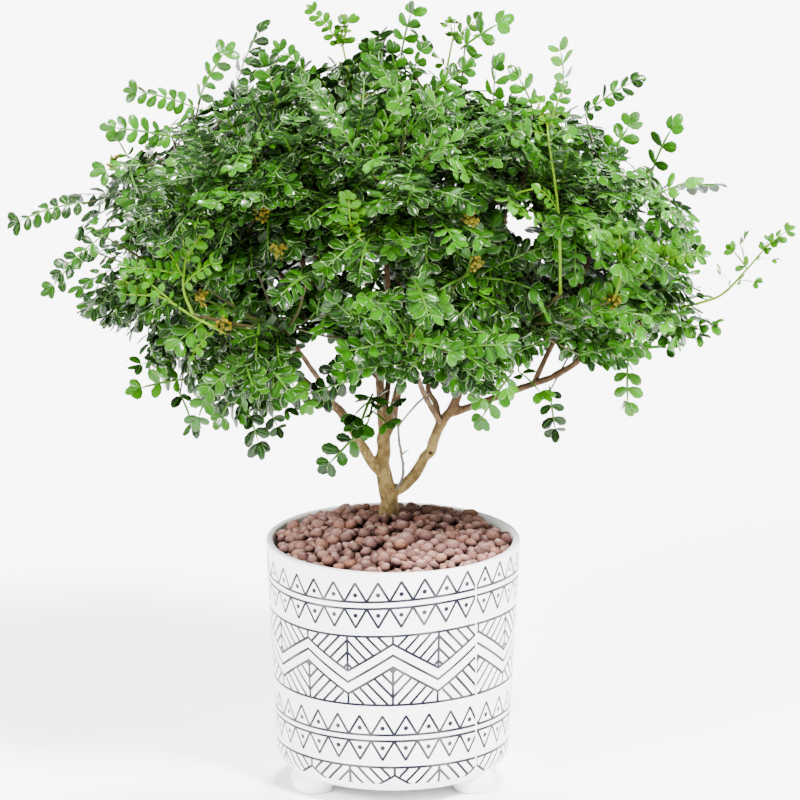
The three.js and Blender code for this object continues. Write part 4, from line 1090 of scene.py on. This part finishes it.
def grow_spray(centre, source):
    """Twig paths and the leaves on them.

    Twigs leave a small branch that points away from the crown's middle. A twig
    is foot + length (s d + rise s^2 up). Its leaves stand in two ranks: cos o
    ahead + sin o side, where o closes from 70 degrees at its foot to 25 at its
    tip, and side lies in the plane that faces the light. A twig ends at its
    last leaf inside the crown.
    """
    up = v(0, 0, 1)
    k = np.arange(TWIGS) + 0.5
    level, about = 1 - 2 * k / TWIGS, GOLDEN * k + source.uniform(0, 2 * np.pi)
    flat = np.sqrt(1 - level ** 2)
    ball = np.stack([flat * np.cos(about), flat * np.sin(about), level], axis=1)
    outward = unit(centre - CROWN_MIDDLE + [0, 0, 10])
    low = centre[2] < 280
    d = unit(ball + 0.4 * outward + source.normal(0, 0.12, ball.shape) - [0, 0, 0.35 * low])
    along_axis = np.clip(d @ outward + source.normal(0, 0.35, TWIGS), -1, 1)
    foot = centre + outward * (AXIS_HALF * along_axis)[:, None]
    length = source.uniform(32, 50, (TWIGS, 1, 1)) + 4 * low
    j = np.arange(LEAVES_ON_TWIG)
    sj = (0.18 + 0.82 * j / (LEAVES_ON_TWIG - 1))[None, :, None]
    base = foot[:, None] + length * (sj * d[:, None] + TWIG_RISE * sj ** 2 * up)
    ahead = unit(d[:, None] + 2 * TWIG_RISE * sj * up)
    light = upper_side(base, source)
    side = unit(np.cross(light, ahead)) * np.where(j % 2, 1.0, -1.0)[None, :, None]
    tilt = np.radians(source.normal(0, 24, base.shape[:2]))[..., None]
    side = np.cos(tilt) * side + np.sin(tilt) * np.cross(ahead, side)
    opening = np.linspace(70, 25, LEAVES_ON_TWIG)[None] + source.normal(0, 8, base.shape[:2])
    opening = np.radians(opening)[..., None]
    opening[:, -1] = 0.1  # the last leaf goes on where the twig ends
    f = np.cos(opening) * ahead + np.sin(opening) * side
    f = unit(f.reshape(-1, 3) + [0, 0, -0.12 - 0.25 * low])
    up_axis = source.uniform(0.1, 1.1, (LEAVES_ON_AXIS, 1))
    axis_base = centre + outward * AXIS_HALF * up_axis
    base = np.vstack([base.reshape(-1, 3), axis_base])
    f = np.vstack([f, unit(unit(source.normal(size=axis_base.shape)) + 0.5 * outward)])
    light = np.vstack([light.reshape(-1, 3), upper_side(axis_base, source)])
    size = source.uniform(30, 44, len(base))
    tip = base + f * size[:, None]
    beyond = np.clip(source.uniform(-18, 10, len(base)), 0, None)
    keep = in_crown(tip, beyond) & in_crown(base) & off_gaps(base, tip)
    reach = (keep[:-LEAVES_ON_AXIS].reshape(TWIGS, -1) * sj[:, :, 0]).max(axis=1)
    path = [foot[k] + length[k] * (s * d[k] + TWIG_RISE * s ** 2 * up)
            for k in np.flatnonzero(reach) for s in [np.linspace(0, reach[k], 6)[:, None]]]
    path = [points for points in path if off_gaps(points[:-1], points[1:]).all()]
    path.append(centre + outward * np.linspace(-1.1, 1.1, 4)[:, None] * AXIS_HALF)
    tone, age = tones_with_painted_light(base[keep], source)
    return path, {"base": base[keep], "ahead": f[keep], "up": light[keep],
                  "length": size[keep], "age": age, "tone": tone}


def leaf_between(rows, source):
    """Leaves given by base and tip, their upper side towards the front or the back."""
    base, tip = rows[:, :3], rows[:, 3:]
    zero = 0 * base[:, 0]
    up = np.column_stack([zero, np.where(base[:, 1] > 30, 0.6, -0.6), zero + 0.8])
    up = up + source.normal(0, 0.25, up.shape)
    tone, age = tones_with_painted_light(base, source)
    return {"base": base, "ahead": tip - base, "up": up, "age": age,
            "length": np.linalg.norm(tip - base, axis=1), "tone": np.clip(tone + 0.1, 0, 1)}


def merged(first, second):
    """Two sets of leaves as one."""
    return {key: np.concatenate([first[key], second[key]]) for key in first}


def nearest_spray(point):
    """Index of the spray whose middle is nearest."""
    return int(np.argmin(np.linalg.norm(SPRAY_CENTRES - point, axis=1)))


# A leaf is the x, y and z of its base, then those of its tip, in mm.
OUTLINE_LEAVES = np.array([
    (-78.5, -10, 353, -62.5, -12, 395), (-36.5, -20, 362, -58.5, -26, 387),
    (-51, -40, 343, -64.5, -44, 387), (-74.5, -50, 345, -85.5, -60, 367),
    (-97, -10, 352, -81, -14, 383), (-12.5, -34, 352, -11.5, -36, 392),
    (4, 0, 373, 10.5, -4, 401), (33.5, -8, 380, 55, -14, 396), (23.5, 0, 366, 39.5, -6, 374),
    (70, -30, 350, 60, -36, 376), (52, -45, 342, 52, -52, 387), (92.5, -12, 345, 123, -14, 367),
    (104, -25, 324, 119, -30, 350), (129, -10, 318, 140, -12, 343),
    (125.5, -30, 308, 149, -34, 319), (131, -35, 285, 148, -40, 294),
    (131, -50, 279, 154, -56, 288), (137, -30, 240, 162, -34, 245),
    (-95, -15, 350, -132.5, -20, 362), (-106, -25, 339, -143, -30, 346),
    (-131.5, -5, 323, -137.5, -8, 335), (-121.5, -30, 326, -145.5, -36, 324),
    (-150.5, -10, 302, -191, -12, 290), (-140.5, -40, 295, -167.5, -46, 272),
    (-148.5, -15, 281, -171.5, -18, 257), (-126.5, -50, 271, -151, -56, 257),
    (-107.5, -60, 234, -127.5, -66, 233), (-103.5, -55, 223, -128, -60, 219),
    (-106.5, -45, 214, -99.5, -48, 196), (-89, -70, 227, -97, -74, 206),
    (-78.5, -62, 223, -65.5, -68, 189), (-65.5, -50, 215, -56, -52, 195),
    (-77.5, -40, 213, -86, -42, 198), (-65.5, -72, 218, -51, -78, 213),
    (-15, -54, 228, -35, -56, 212), (60, -40, 223, 42.5, -46, 197),
    (78, -14, 208, 81.5, -16, 183), (117, -38, 233, 117, -44, 204),
    (123.5, -20, 228, 139, -26, 231), (133.5, -30, 247, 154.5, -34, 238),
    (83.5, -20, 358, 82, -22, 387), (10, -30, 353, 39, -36, 380), (16, -26, 356, 31, -30, 374),
    (9, -20, 362, 15.5, -24, 386), (5, -24, 366, -1, -28, 386), (-42, -30, 350, -44, -36, 372),
    (0, 108, 300, 4, 158, 296), (60, 98, 290, 80, 142, 280), (-66, 98, 300, -84, 142, 304),
    (124, 40, 290, 166, 60, 292), (-122, 44, 290, -162, 62, 284), (10, -110, 290, 18, -156, 280),
    (-40, -104, 290, -58, -146, 288),
], float)


def twig_tubes(paths, thick, thin):
    """Thin closed tubes along paths, as points and triangles."""
    parts = [tube(path, np.linspace(thick, thin, len(path)), 5) for path in paths]
    points, groups = joined(parts)
    return points, np.vstack([cut(g) if g.shape[1] == 4 else g for g in groups])


BROWN_TWIG, GREEN_STEM = 2.0, 1.0  # what the third tint number says of a twig


def foliage_piece(name, leaves, twigs, source, material, stands_for, pair_step=PAIR_STEP):
    """One piece of leaves and what carries them: twigs holds (paths, thick, thin, kind)."""
    points, faces, blade, tint = place_leaves(leaves, source, pair_step)
    rim = (blade[:, 2] == 1) & (tint[:, 2] == 0)
    tone = source.uniform(0.2, 0.9)
    for paths, thick, thin, kind in twigs:
        twig_points, twig_faces = twig_tubes(paths, thick, thin)
        extra = len(twig_points)
        blade = np.vstack([blade, np.tile([0.0, 0.5, 1.0], (extra, 1))])
        tint = np.vstack([tint, np.tile([tone, 0.0, kind], (extra, 1))])
        rim = np.append(rim, np.zeros(extra, bool))
        faces = np.vstack([faces, twig_faces + len(points)])
        points = np.vstack([points, twig_points])
    mesh = mesh_from(name, points, [faces], {"blade": blade, "tint": tint}, rim)
    piece_from(name, mesh, material, stands_for)


def carried_through(*places):
    """A twig's path through a few places."""
    return curve_through(np.array(places), 4)


LOW_SPRIG = carried_through(v(-9.5, 2, 197), v(-11, -6, 193), v(-12.5, -14, 189))
LOW_SPRIG_LEAVES = np.array([
    (-12.5, -14, 189, -34.5, -22, 167), (-9.5, -2, 198, -20.5, -18, 192),
    (-11, -6, 193, -2, -20, 189), (-10, 0, 200, -17, -16, 186), (-9.5, 2, 197, 1, -12, 197),
], float)

MOTTLED_LEAVES = np.array([
    (-64, -70, 238, -46, -80, 224), (-56, -74, 230, -42, -78, 215), (44, -84, 246, 58, -92, 226),
    (52, -84, 238, 42, -94, 222), (62, -72, 232, 74, -82, 222), (118, -60, 262, 136, -66, 254),
], float)

outline_home = [nearest_spray(row[:3]) for row in OUTLINE_LEAVES]
leaf_total = 0
for index, name in enumerate(SPRAY_NAMES):
    source = np.random.default_rng(100 + index)
    centre = SPRAY_CENTRES[index]
    paths, leaves = grow_spray(centre, source)
    mine = [row for row, home in zip(OUTLINE_LEAVES, outline_home) if home == index]
    if mine:
        leaves = merged(leaves, leaf_between(np.array(mine), source))
        for row in mine:
            knee, end = (centre + row[:3]) / 2 + [0, 0, -3], row[:3] + 0.1 * (row[3:] - row[:3])
            paths.append(carried_through(centre, knee, end))
    spotted = [row for row in MOTTLED_LEAVES if nearest_spray(row[:3]) == index]
    if spotted:
        pale_ones = leaf_between(np.array(spotted), source)
        pale_ones["age"] = source.uniform(0.55, 0.95, len(spotted))
        leaves = merged(leaves, pale_ones)
        paths += [carried_through(centre, (centre + row[:3]) / 2, row[:3]) for row in spotted]
    if name == "low_front":
        hanging = leaf_between(LOW_SPRIG_LEAVES, source)
        # painted light: these leaves are made brighter against the shade the crown casts on them
        hanging["tone"] = hanging["tone"] + 0.35
        leaves = merged(leaves, hanging)
        paths.append(LOW_SPRIG)
    leaf_total += len(leaves["base"])
    foliage_piece("leaves_" + name, leaves, [(paths, 0.85, 0.45, BROWN_TWIG)], source,
                  leaf_green, ["leaf_spray_" + name])
print(leaf_total, "leaves in the sprays")

# %% [markdown]
# ## Young shoots
# Bright yellow-green shoots stand out of the dark crown. Each has a thin stem
# that grows out of a brown twig of the spray that carries it, with soft leaves
# at its joints. The stems and the larger leaves are those of the CAD model, and
# a few small leaves at each tip show that it is still growing.

# %% Shoots
YOUNG_PAIR_STEP = 3.4  # young leaves have more and smaller leaflets
TIP_LEAVES = 4
YOUNG_SHOOTS = {
    "top": ([(-16, -10, 344), (-21, -12, 364), (-25, -12, 383)],
            [(-25, -12, 382, -41.5, -12, 403), (-24.5, -12, 383, -21.5, -14, 397),
             (-20, -12, 361, -9.5, -20, 383)]),
    "left_low": ([(-82.5, -95, 258), (-99, -98, 268), (-112.5, -96, 276), (-123.5, -92, 278)],
                 [(-114, -95, 277, -134, -92, 277), (-108.5, -98, 275, -120.5, -100, 286),
                  (-102, -98, 288, -134.5, -96, 292), (-103.5, -100, 283, -86, -108, 299),
                  (-88, -97, 260, -100, -104, 247)]),
    "left_high": ([(-98.5, -99, 269), (-103, -99, 282), (-102, -98, 296)],
                  [(-102, -98, 295, -93, -100, 313), (-103, -99, 287, -112, -104, 304)]),
    "front_left": ([(-19, -98, 304), (-20, -104, 312)],
                   [(-20, -104, 311, -21.5, -112, 335)]),
    "right_tall": ([(82.5, -88, 276), (82, -90, 305), (80, -86, 330), (77, -74, 348),
                    (76, -62, 356)],
                   [(76, -62, 355, 70.5, -60, 368), (76.5, -66, 351, 56, -78, 358),
                    (81, -90, 307, 56, -104, 324), (76.5, -62, 354, 84.5, -50, 372),
                    (81, -89, 318, 70, -98, 334)]),
    "right_buds": ([(109.5, -70, 268), (113.5, -78, 288)],
                   [(113, -77, 286, 103.5, -84, 306), (113, -77, 287, 122.5, -82, 300),
                    (113.5, -78, 288, 111.5, -80, 307)]),
    "far_right": ([(136, -18, 248), (153.5, -20, 252.8), (164.5, -20, 257.5), (176, -20, 270),
                   (183.5, -20, 279)],
                  [(182.5, -20, 278, 197.5, -20, 291), (176, -20, 270, 174.5, -24, 288),
                   (171, -20, 264, 181, -24, 264), (176, -20, 270, 168, -22, 281),
                   (180, -20, 275, 190, -22, 275),
                   (168, -20, 260, 162, -22, 270)]),
    "right": ([(120, -42, 266), (129, -50, 277)],
              [(129.5, -50, 279, 154, -56, 288), (123.5, -44, 272, 148.5, -50, 283)]),
    "back": ([(26, 64, 346), (30, 68, 366)],
             [(29, 68, 363, 44, 74, 375), (27, 66, 350, 10, 70, 368)]),
}
BARE_STEMS = {
    "top": [(-13, -50, 345), (-14.5, -58, 356), (-12, -62, 364), (-10, -62, 371)],
    "right_tall": [(62, -48, 314), (51, -68, 319), (58, -78, 324), (70, -84, 329)],
}
for index, (name, (stem_points, leaf_rows)) in enumerate(YOUNG_SHOOTS.items()):
    source = np.random.default_rng(300 + index)
    stem_points = np.array(stem_points, float)
    start = stem_points[0]
    home = SPRAY_CENTRES[nearest_spray(start)]
    carrier = carried_through(home, (home + start) / 2 - [0, 0, 2], start)
    stem_path = curve_through(stem_points, 5)
    leaves = leaf_between(np.array(leaf_rows, float), source)
    leaves["age"] = source.uniform(0.0, 0.35, len(leaf_rows))
    tip, ahead = stem_path[-1], unit(stem_path[-1] - stem_path[-3])
    spread = unit(ahead + source.normal(0, 0.55, (TIP_LEAVES, 3)) + [0, 0, 0.2])
    sprout = {
        "base": np.tile(tip, (TIP_LEAVES, 1)), "ahead": spread,
        "up": upper_side(tip + spread * 5, source), "length": source.uniform(8, 14, TIP_LEAVES),
        "age": source.uniform(0.3, 0.9, TIP_LEAVES), "tone": source.uniform(0.3, 1, TIP_LEAVES),
    }
    stems = [([carrier], 0.8, 0.95, BROWN_TWIG), ([stem_path], 0.85, 0.5, GREEN_STEM)]
    if name in BARE_STEMS:
        bare = np.array(BARE_STEMS[name], float)
        stems.append(([curve_through(bare, 5)], 0.7, 0.5, GREEN_STEM))
    foliage_piece("shoot_" + name, merged(leaves, sprout), stems, source, young_green,
                  ["young_shoot_" + name], YOUNG_PAIR_STEP)
print(len(YOUNG_SHOOTS), "young shoots")

# %% [markdown]
# ## Flower buds
# Clusters of tiny ochre buds sit among the leaves, on short stalks. Each bud is
# a small ball drawn out along its stalk.

# %% Bud clusters
BUD_CLUSTERS = {
    "top": (-14, -44, 362), "front_left": (-56, -100, 302), "left": (-138, -26, 326),
    "front": (11, -114, 262), "front_right": (40, -104, 296), "right": (120, -62, 252),
}
BUDS = 34
bud_finish, bud_shader, bud_place = new_finish(
    "flower_bud", Roughness=0.55, Specular_IOR_Level=0.1)
bud_mottle = noise(bud_place, 700, 3)
bud_tone, on_stalk, _ = carried(bud_place, "tone")
bud_colour = bud_tone * 0.7 + bud_mottle * 0.4
bud_colour = bud_colour.blend(rgb(0.012, 0.020, 0.001), rgb(0.135, 0.100, 0.0025))
bud_colour = on_stalk.ramp(0.4, 0.6, 0, 1).blend(bud_colour, rgb(0.018, 0.034, 0.003))
wire(bud_shader, "Base Color", bud_colour)
relief(bud_shader, bud_mottle, 0.0003)


def bud_cluster(centre, source):
    """Points, face groups and tone rows of one cluster, its stalks and its twig.

    A tone row is the bud's tone, then 1 on stalks and the twig.
    """
    centre = v(*centre)
    home = SPRAY_CENTRES[nearest_spray(centre)]
    outward = unit(centre - home)
    away = unit(source.normal(size=(BUDS, 3)) + 0.5 * outward)
    spots = centre + away * source.uniform(1.5, 4.6, (BUDS, 1))
    sizes = source.uniform(0.5, 0.95, (BUDS, 1)) * [1.0, 1.0, 1.25]
    bud_points, bud_faces, own_height = lumps(spots, sizes, source, 0.03)
    stalks = [limb([centre - outward * 3, (centre + spot) / 2, spot], (0.3, 0.25, 0.22), 5, 2)
              for spot in spots]
    stalks.append(limb([home + 0.25 * (centre - home), (home + centre) / 2 + [0, 0, -2], centre],
                       (0.7, 0.6, 0.5), 7, 5))
    stalk_points, stalk_groups = joined(stalks)
    points, groups = joined([(bud_points, [bud_faces]), (stalk_points, stalk_groups)])
    tones = np.repeat(source.uniform(0, 1, (BUDS, 1)), len(own_height) // BUDS, axis=0)
    rows = np.column_stack([tones, 0 * tones, 0 * tones])
    return points, groups, np.vstack([rows, np.tile([0.4, 1.0, 0.0], (len(stalk_points), 1))])


for index, (name, centre) in enumerate(BUD_CLUSTERS.items()):
    points, groups, rows = bud_cluster(centre, np.random.default_rng(400 + index))
    mesh = mesh_from("buds_" + name, points, groups, {"tone": rows})
    piece_from("buds_" + name, mesh, bud_finish, ["bud_cluster_" + name])

MORE_BUDS = [(-82.5, -98, 263), (-94, -98, 277), (108, -70, 268), (38, -104, 319), (-64, -90, 318)]
more = [bud_cluster(centre, np.random.default_rng(450 + index))
        for index, centre in enumerate(MORE_BUDS)]
points, groups = joined([part[:2] for part in more])
rows = np.vstack([part[2] for part in more])
mesh = mesh_from("buds_among_leaves", points, groups, {"tone": rows})
piece_from("buds_among_leaves", mesh, bud_finish)
print(len(BUD_CLUSTERS) + len(MORE_BUDS), "bud clusters of", BUDS, "buds")

# %% [markdown]
# ## Floor and light
# The photograph has a plain white ground. A large pale floor and an even sky
# stand for it. Three far soft lamps light the plant: the strongest from the
# upper right, a weaker one from the left, and one from behind, which draws the
# small bright glints and edges that glossy leaves have.

# %% Floor, world and lamps
FLOOR_HALF = 9.0  # metres
floor_finish, floor_shader, floor_place = new_finish(
    "pale_floor", Roughness=0.9, Specular_IOR_Level=0.1)
floor_colour = noise(floor_place, 3, 2).blend(rgb(0.89, 0.89, 0.89), rgb(0.92, 0.92, 0.92))
wire(floor_shader, "Base Color", floor_colour)
floor_mesh = bpy.data.meshes.new("floor")
corners = [(x * FLOOR_HALF, y * FLOOR_HALF, 0) for x, y in ((-1, -1), (1, -1), (1, 1), (-1, 1))]
floor_mesh.from_pydata(corners, [], [(0, 1, 2, 3)])
floor_mesh.materials.append(floor_finish)
floor = bpy.data.objects.new("floor", floor_mesh)
bpy.context.scene.collection.objects.link(floor)

SKY_LOW, SKY_HIGH = 0.4, 0.9
world = bpy.data.worlds.new("studio")
world.use_nodes = True
sky = Sock(world.node_tree)
up = sky.node("TexCoord", None, None, "Generated").parts()[2]
glow = up.ramp(0.2, 0.9, SKY_LOW, SKY_HIGH)
background = world.node_tree.nodes["Background"]
background.inputs["Color"].default_value = rgb(1.0, 1.0, 1.0)
world.node_tree.links.new(glow.socket, background.inputs["Strength"])
bpy.context.scene.world = world


def soft_light(name, about, height, width, strength):
    """A far soft lamp: about degrees round from the front to the right, height degrees up."""
    lamp = bpy.data.lights.new(name, "SUN")
    lamp.angle = math.radians(width)
    lamp.energy = strength
    holder = bpy.data.objects.new(name, lamp)
    bpy.context.scene.collection.objects.link(holder)
    a, h = math.radians(about), math.radians(height)
    towards = Vector((math.sin(a) * math.cos(h), -math.cos(a) * math.cos(h), math.sin(h)))
    holder.rotation_euler = towards.to_track_quat("Z", "Y").to_euler()


soft_light("key", 38, 52, 12, 15.5)
soft_light("fill", -42, 34, 16, 7.0)
soft_light("back", 168, 58, 11, 12.5)
print("stage is set")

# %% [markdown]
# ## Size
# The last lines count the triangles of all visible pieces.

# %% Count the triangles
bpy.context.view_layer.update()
visible = [piece for piece in bpy.data.objects if piece.type == "MESH" and not piece.hide_render]
print("triangles in all:", sum(len(piece.data.loop_triangles) for piece in visible))
